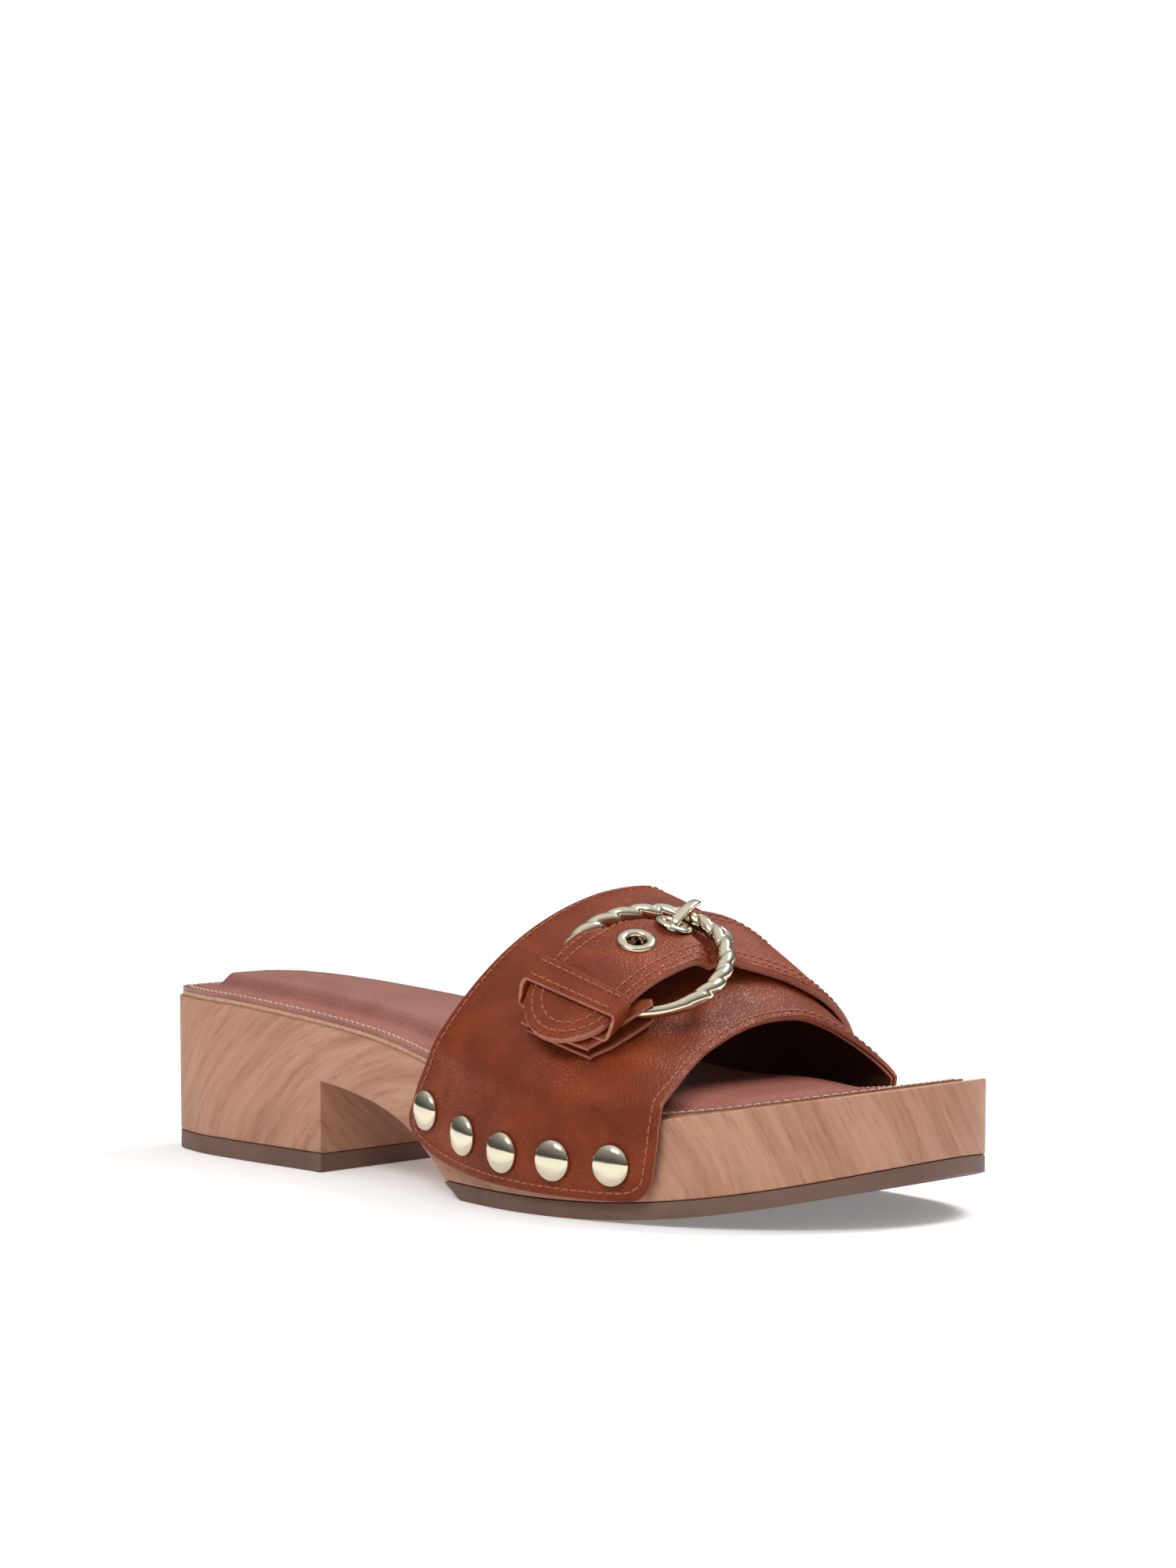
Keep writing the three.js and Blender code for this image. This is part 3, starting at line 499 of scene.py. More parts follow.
def shell_faces(na, nb):
    """Quads round two stacked grids, closed along their rims."""
    return sheet_faces(na, nb) + sheet_faces(na, nb, True, na * nb) + rim_faces(na, nb, na * nb)


sock_outline = footbed_outline(FOOTBED_INSET)
sock_outer, sock_inner = edge_lines(sock_outline)
SOCK_ROWS, SOCK_COLUMNS = 150, 80
sock_x = spread(sock_outline[:, 0].min() + 0.05, sock_outline[:, 0].max() - 0.05, SOCK_ROWS)
across = 0.5 - 0.5 * np.cos(np.linspace(0, math.pi, SOCK_COLUMNS))
sock_x = np.repeat(sock_x[:, None], SOCK_COLUMNS, 1)
sock_y = sock_outer(sock_x) + (sock_inner(sock_x) - sock_outer(sock_x)) * across
rise = cushion_rise(sock_x, sock_y)
sock_z = rim_height(sock_x) + (BOARD_TOP + 0.1) * skived(sock_x) + (FOAM_THICKNESS + 2 * GAP) * rise
sock_pared = SOCK_THICKNESS * skived(sock_x)
sock_top = in_frame(np.stack([sock_x, sock_y, sock_z + sock_pared], 2).reshape(-1, 3))


def swell(top_points, held):
    """Lets the foam press the sock up from inside, and gives back how far each point moved."""
    count = len(top_points)
    floor = top_points.copy()
    floor[:, 2] = in_frame(np.column_stack([sock_x.ravel(), sock_y.ravel(),
                                            rim_height(sock_x).ravel() + BOARD_TOP]))[:, 2]
    mesh = bpy.data.meshes.new("swelling")
    mesh.from_pydata([tuple(p) for p in np.concatenate([top_points, floor])], [],
                     shell_faces(SOCK_ROWS, SOCK_COLUMNS))
    body = bpy.data.objects.new("swelling", mesh)
    scene.collection.objects.link(body)
    pinned = body.vertex_groups.new(name="sewn")
    pinned.add([int(i) for i in np.flatnonzero(held)] + list(range(count, 2 * count)), 1.0, "REPLACE")
    cloth = body.modifiers.new("cloth", "CLOTH")
    cloth.settings.effector_weights.gravity = 0
    cloth.settings.vertex_group_mass = "sewn"
    cloth.settings.use_pressure = True
    cloth.settings.uniform_pressure_force = 4
    cloth.settings.mass = 0.2
    cloth.settings.tension_stiffness = 12
    cloth.settings.bending_stiffness = 2
    cloth.point_cache.frame_start = 1
    cloth.point_cache.frame_end = 20
    for step in range(1, 21):
        scene.frame_set(step)
    settled = body.evaluated_get(bpy.context.evaluated_depsgraph_get())
    moved = np.array([v.co for v in settled.data.vertices])[:count] - top_points
    scene.frame_set(1)
    bpy.data.objects.remove(body)
    bpy.data.meshes.remove(mesh)
    return np.clip(np.nan_to_num(moved), -SWELL_LIMIT, SWELL_LIMIT)


sock_top = sock_top + swell(sock_top, rise.ravel() < 0.02)


def leather_finish(name, dark, middle, light, roughness, shine=0.2, coat=0.0):
    """Dyed leather: mottled colour, fine pebbled grain with painted shade in its creases, and a light
    polish.
    """
    material, shader, tree, place = finish(name, tone(*middle), roughness)
    mottle = noise(tree, place, 60.0, 6.0, 0.6, 0.4)
    colour = shades(tree, mottle, [(0.3, tone(*dark)), (0.5, tone(*middle)), (0.74, tone(*light))])
    cells = knit(tree, "ShaderNodeTexVoronoi", {"feature": "DISTANCE_TO_EDGE"},
                 {"Vector": place, "Scale": 950.0, "Randomness": 1.0}).outputs["Distance"]
    # Painted shade: the colour darkens along the grain's creases, where the bump sinks.
    crease_shade = shades(tree, cells, [(0.0, tone(190, 190, 190)), (0.12, tone(255, 255, 255))])
    mixed = knit(tree, "ShaderNodeMixRGB", {"blend_type": "MULTIPLY"},
                 {"Fac": 0.35, "Color1": colour, "Color2": crease_shade})
    tree.links.new(mixed.outputs["Color"], shader.inputs["Base Color"])
    rub = knit(tree, "ShaderNodeMapRange", {}, {"Value": mottle, "From Min": 0.3, "From Max": 0.7,
                                                "To Min": roughness + 0.07, "To Max": roughness - 0.06})
    tree.links.new(rub.outputs[0], shader.inputs["Roughness"])
    height = sums(tree, "MINIMUM", cells, 0.25)
    soft = noise(tree, place, 260.0, 4.0, 0.6)
    waves = roughen(tree, shader, soft, 0.00016, 0.5)
    roughen(tree, shader, height, 0.0005, 0.7, below=waves)
    shader.inputs["Specular IOR Level"].default_value = shine
    shader.inputs["Coat Weight"].default_value = coat
    shader.inputs["Coat Roughness"].default_value = 0.3
    return material


sock_leather = leather_finish("sock_leather", (136, 80, 68), (146, 88, 76), (153, 96, 84), 0.42,
                              coat=0.4)
sock_under = sock_top.copy()
sock_under[:, 2] -= sock_pared.ravel() / 1000
sock = piece_from("sock", np.concatenate([sock_top, sock_under]),
                  shell_faces(SOCK_ROWS, SOCK_COLUMNS), [sock_leather])
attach(sock, "clog")
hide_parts("insole_sock")


open_foam = speckled("open_foam", (232, 222, 205), 0.95, (1200.0, 2.0),
                     [(0.3, (214, 202, 182)), (0.6, (238, 230, 215))], (0.0002, 0.8))
foam_outline = offset_outline(-(CUSHION_INSET + CUSHION_BEVEL + 4.5))
foam_stations = spread(foam_outline[:, 0].min(), 2 * FOAM_END - foam_outline[:, 0].min(), 160)
foam_stations = foam_stations[foam_stations < FOAM_END]
foam = sole_layer("foam_pad", foam_outline, foam_stations,
                  lambda x: rim_height(x) + BOARD_TOP + GAP,
                  lambda x: rim_height(x) + BOARD_TOP + GAP + FOAM_THICKNESS, 0.8, [open_foam])
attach(foam, "clog")
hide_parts("footbed_foam")


def thread_finish(name, colour):
    dark = tuple(c * 0.82 for c in colour)
    return speckled(name, colour, 0.7, (3000.0, 2.0), [(0.35, dark), (0.65, colour)], (0.00005, 0.6))


def stitch_row(path, normals, pitch, radius, closed=False):
    """Stitches along a path of millimetre points: short threads that dive in at both ends."""
    path, normals = np.asarray(path), np.asarray(normals)
    if closed:
        path, normals = np.vstack([path, path[:1]]), np.vstack([normals, normals[:1]])
    run = lengths(path)
    count = max(int(run[-1] / pitch), 1)
    pitch = run[-1] / count
    points, faces = [], []
    sides = 6
    rows = [(-0.02, -0.5), (0.1, 0.15), (0.3, 0.5), (0.5, 0.6), (0.7, 0.5), (0.9, 0.15), (1.02, -0.5)]
    for stitch in range(count):
        for share, lift in rows:
            s = (stitch + 0.13 + 0.74 * share) * pitch
            p, q, n = [np.array([np.interp(at, run, line[:, k]) for k in range(3)])
                       for at, line in ((s, path), (s + 0.1, path), (s, normals))]
            side = np.cross(n, unit(q - p))
            middle = p + n * lift * radius
            for k in range(sides):
                a = 2 * math.pi * k / sides
                points.append(middle + radius * (side * math.cos(a) + n * math.sin(a) * 0.8))
        base = stitch * len(rows) * sides
        faces += tube_faces(len(rows), sides, False, base)
        faces.append(tuple(base + k for k in range(sides))[::-1])
        faces.append(tuple(base + (len(rows) - 1) * sides + k for k in range(sides)))
    return points, faces


def stitched(name, rows, thread):
    """All of a piece's rows of stitches as one mesh."""
    points, faces = [], []
    for row_points, row_faces in rows:
        faces += [tuple(i + len(points) for i in face) for face in row_faces]
        points += row_points
    return piece_from(name, in_frame(points), faces, [thread])


def stitching(name, rows, thread):
    """Stitches on a piece that stays on the clog."""
    piece = stitched(name, rows, thread)
    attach(piece, "clog")


pale_thread = thread_finish("pale_thread", (214, 190, 160))
seam = footbed_outline(FOOTBED_INSET + 2.2)
seam_z = rim_height(seam[:, 0]) + (BOARD_TOP + 0.1 + SOCK_THICKNESS) * skived(seam[:, 0])
seam = np.column_stack([seam, seam_z])
upward = np.tile([0.0, 0.0, 1.0], (len(seam), 1))
stitching("sock_stitching", [stitch_row(seam, upward, 2.3, 0.26, True)], pale_thread)

# ---- Vamp leather -----------------------------------------------------------------------------------
# One wide band of waxed tan leather, pulled over the instep and down both walls of the sole. Its edges
# are cut clean and painted, its lower corners rounded, and one row of thread runs all the way round.
GAP_OUT = 2.6
WALL_SPAN = 0.12
LEATHER_THICKNESS = 1.2
INSTEP_LINE = 18.3
OUTER_FULLNESS = 1.63
INNER_FULLNESS = 1.97
LEATHER_SEAT = 2.2
VAMP_CORNER = 5.5
VAMP_WIDTH = 84.0
rear_edge = graded([(0, 122.7), (0.15, 130), (0.3, 134.8), (0.4, 138.3), (0.5, 141.7), (0.6, 142.1),
                    (0.75, 134.6), (1, 122.2)])
front_edge = graded([(0, 203), (0.15, 200.2), (0.3, 195.2), (0.4, 193.9), (0.5, 194.9),
                     (0.6, 196.9), (0.75, 200.6), (1, 204.4)])
hem_height = graded([(113, 17), (122, 12.3), (129.5, 9.6), (143.5, 7.3), (157, 6.3), (172, 5.6),
                     (186, 5.4), (200, 5.9)])
wall_outer, wall_inner = edge_lines(offset_outline(GAP_OUT))


def instep_height(x):
    return 76 - (x - 141) * 0.547 - 0.0063 * (x - 141) * (x - 191)


def vamp_skin(t, v):
    """The vamp's outer face: t runs outer side, instep, inner side; v runs from rear to front edge."""
    t, v = np.broadcast_arrays(np.asarray(t, float), np.asarray(v, float))
    outer = t < 0.5
    part = np.where(outer, t, 1 - t)
    over = np.maximum(part, 0) * math.pi
    held = np.clip(t, 0, 1)
    down = np.maximum(-part, 0) / WALL_SPAN
    rim_x = rear_edge(held) * (1 - v) + front_edge(held) * v
    x = rim_x + (113.2 + 86.8 * v - rim_x) * down
    seat = rim_height(x) + LEATHER_SEAT
    wall = np.where(outer, wall_outer(x), wall_inner(x))
    power = 2 / np.where(outer, OUTER_FULLNESS, INNER_FULLNESS)
    y = INSTEP_LINE + (wall - INSTEP_LINE) * np.clip(np.cos(over), 0, 1) ** power
    z = seat + (instep_height(x) - seat) * np.clip(np.sin(over), 0, 1) ** power
    z = np.where(down > 0, seat + (hem_height(x) - seat) * down, z)
    return np.stack([x, y, z], -1)


def vamp_normal(t, v, step=2e-3):
    across_foot = vamp_skin(t + step, v) - vamp_skin(t - step, v)
    along_foot = vamp_skin(t, v + step) - vamp_skin(t, v - step)
    return unit(np.cross(along_foot, across_foot))


def vamp_point(t, v, height):
    t, v = np.asarray(t, float), np.asarray(v, float)
    return vamp_skin(t, v) + vamp_normal(t, v) * np.asarray(height, float)[..., None]


def steps_with_rims(length, cell, rim):
    """Places along a length, with extra ones close to both ends for a rounded rim."""
    inside = np.linspace(rim, length - rim, max(int((length - 2 * rim) / cell), 2) + 1)
    ends = rim * np.array([0, 0.15, 0.5])
    return np.concatenate([ends, inside, length - ends[::-1]])


def leather_piece(name, place, rows, columns, thick, rim, materials, to_edge=None):
    """A leather strip with soft cut edges: place(a, b, height) with a and b in millimetres."""
    a, b = np.meshgrid(rows, columns, indexing="ij")
    from_edge = np.minimum(np.minimum(a - rows[0], rows[-1] - a),
                           np.minimum(b - columns[0], columns[-1] - b))
    if to_edge is not None:
        from_edge = to_edge(a, b)
    swell_in = np.clip(1 - from_edge / rim, 0, 1)
    half = thick / 2 * (0.45 + 0.55 * np.sqrt(1 - swell_in ** 2))
    upper = place(a, b, thick / 2 + half).reshape(-1, 3)
    lower = place(a, b, thick / 2 - half).reshape(-1, 3)
    na, nb = a.shape
    faces = shell_faces(na, nb)
    near = from_edge.ravel() < rim * 0.45
    paint = [int(all(near[i % (na * nb)] for i in face)) for face in faces]
    return piece_from(name, in_frame(np.concatenate([upper, lower])), faces, materials, paint, 75)


tan_leather = leather_finish("tan_leather", (99, 38, 14), (117, 48, 20), (138, 61, 28), 0.42, 0.16)
edge_paint = leather_finish("edge_paint", (150, 90, 72), (164, 102, 83), (176, 114, 95), 0.5)
lining_leather = leather_finish("lining_leather", (58, 27, 18), (66, 31, 21), (76, 38, 26), 0.65, 0.15)
VAMP_GIRTH = 250.0
WALL_RUN = VAMP_GIRTH * WALL_SPAN / (1 + 2 * WALL_SPAN)
BEND_EASE = 10.0


def vamp_place(lift, shrink=0.0):
    """Places millimetres along and across the vamp on its skin, with the lower corners rounded off."""
    def laid(a, b, height):
        t = -WALL_SPAN + (1 + 2 * WALL_SPAN) * b / VAMP_GIRTH
        from_hem = np.minimum(b, VAMP_GIRTH - b) / WALL_RUN * 21
        bite = np.clip(VAMP_CORNER - from_hem, 0, VAMP_CORNER)
        cut = (VAMP_CORNER - np.sqrt(VAMP_CORNER ** 2 - bite ** 2)) / VAMP_WIDTH + shrink
        v = cut + (1 - 2 * cut) * a / VAMP_WIDTH
        return vamp_point(t, v, lift + height)

    def place(a, b, height):
        from_bend = np.abs(np.minimum(b, VAMP_GIRTH - b) - WALL_RUN)
        ease = BEND_EASE * (1 - smoothstep(from_bend, 0, WALL_RUN - 2))
        return (laid(a, b - ease, height) + laid(a, b + ease, height)) / 2
    return place


vamp_rows = steps_with_rims(VAMP_WIDTH, 2.0, 0.5)
vamp_columns = np.unique(np.concatenate([steps_with_rims(VAMP_GIRTH, 1.6, 0.5),
                                         np.linspace(0.6, 9, 12), VAMP_GIRTH - np.linspace(0.6, 9, 12)]))
vamp = leather_piece("vamp", vamp_place(-LEATHER_THICKNESS), vamp_rows, vamp_columns,
                     LEATHER_THICKNESS, 0.5, [tan_leather, edge_paint])
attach(vamp, "clog")
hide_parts("vamp_outer")


def rounded_loop(length, width, inset, corner, cell):
    """A rectangle's rim, drawn inward, with round corners, as two rows of millimetres."""
    loop = []
    reach = max(corner - inset, 0.5)
    corners = [(length - inset, inset, -90), (length - inset, width - inset, 0),
               (inset, width - inset, 90), (inset, inset, 180)]
    for x, y, start in corners:
        cx = x - reach if x > length / 2 else x + reach
        cy = y - reach if y > width / 2 else y + reach
        for degrees in range(start, start + 91, 15):
            turn = math.radians(degrees)
            loop.append((cx + reach * math.cos(turn), cy + reach * math.sin(turn)))
    loop = np.array(loop + loop[:1])
    run = lengths(loop)
    at = np.arange(0, run[-1], cell)
    return [np.interp(at, run, loop[:, k]) for k in (0, 1)]


tan_thread = thread_finish("tan_thread", (166, 92, 62))
loop_a, loop_b = rounded_loop(VAMP_WIDTH, VAMP_GIRTH, 2.4, 6.0, 1.0)
vamp_seam = vamp_place(0.0)(loop_a, loop_b, 0.0)
seam_lift = vamp_place(0.0)(loop_a, loop_b, 1.0) - vamp_seam
stitching("vamp_stitching", [stitch_row(vamp_seam, seam_lift, 2.5, 0.27, True)], tan_thread)

# ---- Vamp lining ------------------------------------------------------------------------------------
# A thinner, darker leather glued inside the vamp, trimmed just short of its edges.
lining = leather_piece("lining", vamp_place(-LEATHER_THICKNESS - 0.9, 0.006), vamp_rows, vamp_columns,
                       0.8, 0.3, [lining_leather, edge_paint])
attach(lining, "clog")
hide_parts("vamp_lining")

# ---- Dome nails -------------------------------------------------------------------------------------
# Five pale gold dome-headed nails on each side, driven through the leather's hem into the wood. Each
# head is a pressed shell with a thin rolled rim that bites into the leather.
STUD_STATIONS = [(124, 21.5), (141, 17), (157, 14.5), (173.5, 14), (190, 14)]
STUD_RADIUS = 5.1
STUD_RISE = 2.2


def gold_finish(name, colour, roughness):
    """Polished pale gold plate with faint handling marks."""
    material, shader, tree, place = finish(name, tone(*colour), roughness, 1.0)
    cloud = noise(tree, place, 120.0, 4.0, 0.6)
    colour_out = shades(tree, cloud, [(0.3, tone(*(c * 0.94 for c in colour))), (0.7, tone(*colour))])
    tree.links.new(colour_out, shader.inputs["Base Color"])
    marks = knit(tree, "ShaderNodeMapRange", {}, {"Value": cloud, "From Min": 0.3, "From Max": 0.7,
                                                  "To Min": roughness * 0.8, "To Max": roughness * 1.3})
    tree.links.new(marks.outputs[0], shader.inputs["Roughness"])
    roughen(tree, shader, noise(tree, place, 420.0, 3.0), 0.00003, 0.35)
    return material


pale_gold = gold_finish("pale_gold", (216, 206, 182), 0.11)


def turned(profile, sides, placing):
    """A turned shape from (radius, height) pairs that start and end on the axis or close on itself."""
    points = []
    for radius, height in profile:
        for k in range(sides):
            a = 2 * math.pi * k / sides
            points.append((radius * math.cos(a), height, radius * math.sin(a)))
    rows = len(profile)
    faces = tube_faces(rows, sides)
    if profile[0] != profile[-1]:
        faces.append(tuple(range(sides))[::-1])
        faces.append(tuple((rows - 1) * sides + k for k in range(sides)))
    matrix, origin = placing
    return np.array(points) @ matrix.T + origin, faces


def stud_placing(x, z, side):
    line = wall_outer if side < 0 else wall_inner
    ahead = float(line(x + 2) - line(x - 2))
    out = unit(np.array([-ahead * side, 4.0 * side, 0.0]))
    along = np.cross(out, (0, 0, 1.0))
    return np.column_stack([along, out, (0, 0, 1.0)]), np.array([x, float(line(x)), z]) + out * GAP


dome = [(0.0, -12.0), (0.3, -11.6), (0.9, -10.0), (0.9, -GAP), (STUD_RADIUS - 0.5, -GAP),
        (STUD_RADIUS, -0.1)]
dome += [(STUD_RADIUS * math.cos(a), 0.1 + (STUD_RISE - 0.1) * math.sin(a))
         for a in np.radians([0, 4, 9, 16, 24, 33, 43, 54, 66, 78])] + [(0.02, STUD_RISE)]
for side, word in ((-1, "outer"), (1, "inner")):
    for number, (x, z) in enumerate(STUD_STATIONS, 1):
        nail_points, nail_faces = turned(dome, 40, stud_placing(x, z, side))
        nail = piece_from(f"dome_nail_{word}_{number}", in_frame(nail_points), nail_faces, [pale_gold])
        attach(nail, "clog")
        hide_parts(f"stud_{word}_{number}")

# ---- Ring buckle ------------------------------------------------------------------------------------
# A cast ring, twisted like rope, plated pale gold. It tapers to a plain round bar where the chape folds
# round it. Its own frame has x across the ring to its far side, y to the heel and z off the leather.
RING_RADIUS = 19.6
WIRE_RADIUS = 2.1
BAR_RADIUS = 1.5
CHAPE_THICKNESS = 1.4
KEEPER_THICKNESS = 1.1
SEAT_T = 0.223
chape_top = GAP + CHAPE_THICKNESS
seat_height = chape_top + GAP + BAR_RADIUS
seat = vamp_point(SEAT_T, 0.613, seat_height)
ring_x = unit(vamp_point(0.402, 0.537, 7.9) - seat)
ring_z = unit(np.cross(vamp_point(0.334, 0.866, 8.3) - vamp_point(0.294, 0.308, 3.7), ring_x))
ring_y = np.cross(ring_z, ring_x)
ring_axes = np.column_stack([ring_x, ring_y, ring_z])
ring_middle = seat + ring_x * RING_RADIUS
ROPE_TURNS = 11
ROPE_STRANDS = 2


def from_ring(points):
    return np.asarray(points, float) @ ring_axes.T + ring_middle


def to_ring(points):
    return (np.asarray(points, float) - ring_middle) @ ring_axes


def twisted_ring(name):
    rounds, sides = 440, 28
    phi, psi = np.meshgrid(np.linspace(0, 2 * math.pi, rounds, endpoint=False),
                           np.linspace(0, 2 * math.pi, sides, endpoint=False), indexing="ij")
    from_seat = math.pi - np.abs((phi + math.pi) % (2 * math.pi) - math.pi)
    rope = smoothstep(from_seat, 0.95, 1.5)
    lobe = np.abs(np.sin((psi * ROPE_STRANDS + phi * ROPE_TURNS * ROPE_STRANDS) / 2))
    thick = BAR_RADIUS + (WIRE_RADIUS - BAR_RADIUS) * smoothstep(from_seat, 0.8, 1.4)
    wire = thick * (1.04 - rope * 0.32 * (1 - lobe ** 0.55))
    reach = RING_RADIUS + wire * np.cos(psi)
    points = np.stack([reach * np.cos(phi), reach * np.sin(phi), wire * np.sin(psi)], -1)
    points = in_frame(from_ring(points.reshape(-1, 3)))
    return piece_from(name, points, tube_faces(rounds, sides, True), [pale_gold], None, 60)


ring = twisted_ring("twisted_ring")
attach(ring, "ring")
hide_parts("ring_buckle")

# ---- Buckle strap -----------------------------------------------------------------------------------
# A strap of the same leather, doubled and sewn with two rows of thread round its rounded tip. It comes
# up from the inner side, dives under the ring, arches over the chape and ends through the keeper.
STRAP_WIDTH = 25.0
STRAP_THICKNESS = 2.2
STRAP_TIP_T = 0.132
STRAP_END_T = 1.01
EYELET_T = (0.31, 0.368, 0.44)
fold_radius = BAR_RADIUS + GAP + CHAPE_THICKNESS / 2
fold_top = seat_height + fold_radius + CHAPE_THICKNESS / 2
keeper_floor = chape_top + GAP
upper_chape = keeper_floor + KEEPER_THICKNESS + GAP
strap_line = graded([(0, 0.52), (0.25, 0.55), (0.38, 0.57), (0.5, 0.62), (0.6, 0.65), (1, 0.66)])
under_strap = graded([(STRAP_TIP_T, upper_chape + CHAPE_THICKNESS + GAP), (0.165, 5.4), (0.205, 6.8),
                      (SEAT_T, fold_top + 2 * GAP), (0.26, 7.7), (0.3, 7.4), (0.34, 7.1), (0.37, 6.6),
                      (0.39, 5.1), (0.41, 3.5), (0.43, 2.3), (0.46, 1.3), (0.5, 0.6), (0.54, GAP),
                      (1, GAP)])
strap_tilt = graded([(0.2, 0), (0.25, 0.03), (0.3, 0.05), (0.38, 0.04), (0.44, 0.02), (0.5, 0)])


def strap_point(t, w, height):
    t = np.asarray(t, float)
    span = np.linalg.norm(vamp_skin(t, 1.0) - vamp_skin(t, 0.0), axis=-1)
    return vamp_point(t, strap_line(t) + w / span, height)


def strap_rise(t, w):
    """How high the strap's under side runs over the vamp: it dips to pass under the ring."""
    t, w = np.broadcast_arrays(np.asarray(t, float), np.asarray(w, float))
    arch = under_strap(t) + w * np.where(t < 0.5, np.maximum(strap_tilt(t), 0), 0)
    top = to_ring(strap_point(t, w, arch + STRAP_THICKNESS))
    inside = RING_RADIUS - WIRE_RADIUS - 2 * GAP - np.hypot(top[..., 0], top[..., 1])
    ceiling = -WIRE_RADIUS - 2 * GAP + 1.3 * np.maximum(0, inside)
    dip = np.maximum(0, top[..., 2] - ceiling) * smoothstep(top[..., 0], -4, 9)
    return np.maximum(arch - dip, 2 * GAP)


run_t = np.linspace(STRAP_TIP_T, STRAP_END_T, 1200)
run_line = vamp_skin(run_t, strap_line(run_t))
run_mm = lengths(run_line)
STRAP_RUN = run_mm[-1]


def strap_place(a, w, height):
    """Millimetres from the tip and from the strap's middle line, at a height over its under side."""
    t = np.interp(a, run_mm, run_t)
    return strap_point(t, w, strap_rise(t, w) + height)


def strap_across(a, b):
    """Places across the strap, drawn in round its tip."""
    half = STRAP_WIDTH / 2
    corner = np.clip(a / half, 0, 1)
    return (b - half) * np.maximum(np.sqrt(np.clip(1 - (1 - corner) ** 2, 0, 1)), 0.01)


def strap_sheet(a, b, height):
    return strap_place(a, strap_across(a, b), height)


def strap_to_edge(a, b):
    half, w = STRAP_WIDTH / 2, strap_across(a, b)
    round_tip = half - np.hypot(np.maximum(half - a, 0), w)
    return np.clip(np.minimum(round_tip, STRAP_RUN - a), 0, None)


tip_steps = STRAP_WIDTH / 2 * (1 - np.cos(np.linspace(0, math.pi / 2, 18)))
strap_rows = np.unique(np.round(np.concatenate([
    tip_steps, np.linspace(STRAP_WIDTH / 2, STRAP_RUN - 0.5, 130), [STRAP_RUN - 0.2, STRAP_RUN]]), 3))
strap_columns = steps_with_rims(STRAP_WIDTH, 1.0, 0.6)
strap = leather_piece("strap", strap_sheet, strap_rows, strap_columns, STRAP_THICKNESS, 0.6,
                      [tan_leather, edge_paint], strap_to_edge)


def eyelet_placing(t):
    def at(u, w):
        return strap_point(u, w, strap_rise(u, w) + STRAP_THICKNESS / 2)
    across_strap = unit(at(t, 2.4) - at(t, -2.4))
    out = unit(np.cross(across_strap, at(t + 0.01, 0.0) - at(t - 0.01, 0.0)))
    return np.column_stack([np.cross(out, across_strap), out, across_strap]), at(t, 0.0)


def carve(piece, cutters):
    """Cuts shapes out of a piece for good."""
    for points, faces in cutters:
        tool = piece_from("cutter", in_frame(points), faces, [])
        cut = piece.modifiers.new("cut", "BOOLEAN")
        cut.operation = "DIFFERENCE"
        cut.solver = "EXACT"
        cut.object = tool
        settled = piece.evaluated_get(bpy.context.evaluated_depsgraph_get())
        mesh = bpy.data.meshes.new_from_object(settled)
        piece.modifiers.clear()
        piece.data = mesh
        bpy.data.objects.remove(tool)


room = [(0.02, -9), (4.1, -9), (4.1, -1.1), (3.2, -0.9), (3.2, 0.9), (5.0, 1.1), (5.0, 9), (0.02, 9)]
carve(strap, [turned(room, 40, eyelet_placing(t)) for t in EYELET_T])
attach(strap, "clog")
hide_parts("buckle_strap")


def strap_row(inset):
    """The path of one row of thread: up one edge, round the tip and back along the other."""
    reach = STRAP_WIDTH / 2 - inset
    turn = np.linspace(-math.pi / 2, math.pi / 2, 24)
    tip_a, tip_w = STRAP_WIDTH / 2 - reach * np.cos(turn), reach * np.sin(turn)
    straight = np.linspace(STRAP_RUN - 3, STRAP_WIDTH / 2 + 1, 160)
    a = np.concatenate([straight, tip_a, straight[::-1]])
    w = np.concatenate([straight * 0 - reach, tip_w, straight * 0 + reach])
    path = strap_place(a, w, STRAP_THICKNESS)
    return stitch_row(path, strap_place(a, w, STRAP_THICKNESS + 1.0) - path, 2.5, 0.27)


stitching("strap_stitching", [strap_row(2.0), strap_row(4.4)], tan_thread)

# ---- Eyelets ----------------------------------------------------------------------------------------
# Three pressed two-part eyelets in the strap's middle line, plated like the ring. The flange on top is
# rolled round, and the barrel is clinched under the strap.
FACE = STRAP_THICKNESS / 2
HOLE_RADIUS = 2.4
BARREL_RADIUS = 2.9
CLINCH_RADIUS = 3.8
CLINCH_DEPTH = FACE + 0.9
eyelet_shape = [(HOLE_RADIUS, -CLINCH_DEPTH), (CLINCH_RADIUS, -CLINCH_DEPTH), (CLINCH_RADIUS, -FACE - 0.3),
                (BARREL_RADIUS, -FACE - 0.3), (BARREL_RADIUS, FACE - 0.05), (4.6, FACE - 0.05),
                (4.8, FACE + 0.1), (4.72, FACE + 0.4), (4.4, FACE + 0.68), (3.9, FACE + 0.85),
                (3.4, FACE + 0.85), (BARREL_RADIUS, FACE + 0.66), (2.55, FACE + 0.3),
                (HOLE_RADIUS, FACE - 0.2), (HOLE_RADIUS, -CLINCH_DEPTH)]
for number, t in enumerate(EYELET_T, 1):
    eye_points, eye_faces = turned(eyelet_shape, 48, eyelet_placing(t))
    eyelet = piece_from(f"pressed_eyelet_{number}", in_frame(eye_points), eye_faces, [pale_gold])
    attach(eyelet, "clog")
    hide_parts(f"eyelet_{number}")

# ---- Chape ------------------------------------------------------------------------------------------
# A short strip of the leather folded round the ring's plain bar, its two ends lying one on the other
# under the strap's tip. A slot in the fold lets the prong through.
CHAPE_TAIL = 15.0
PRONG_WIDTH = 2.6
PRONG_THICKNESS = 1.4
PRONG_SLOT = 4.0
fold_run = math.pi * fold_radius


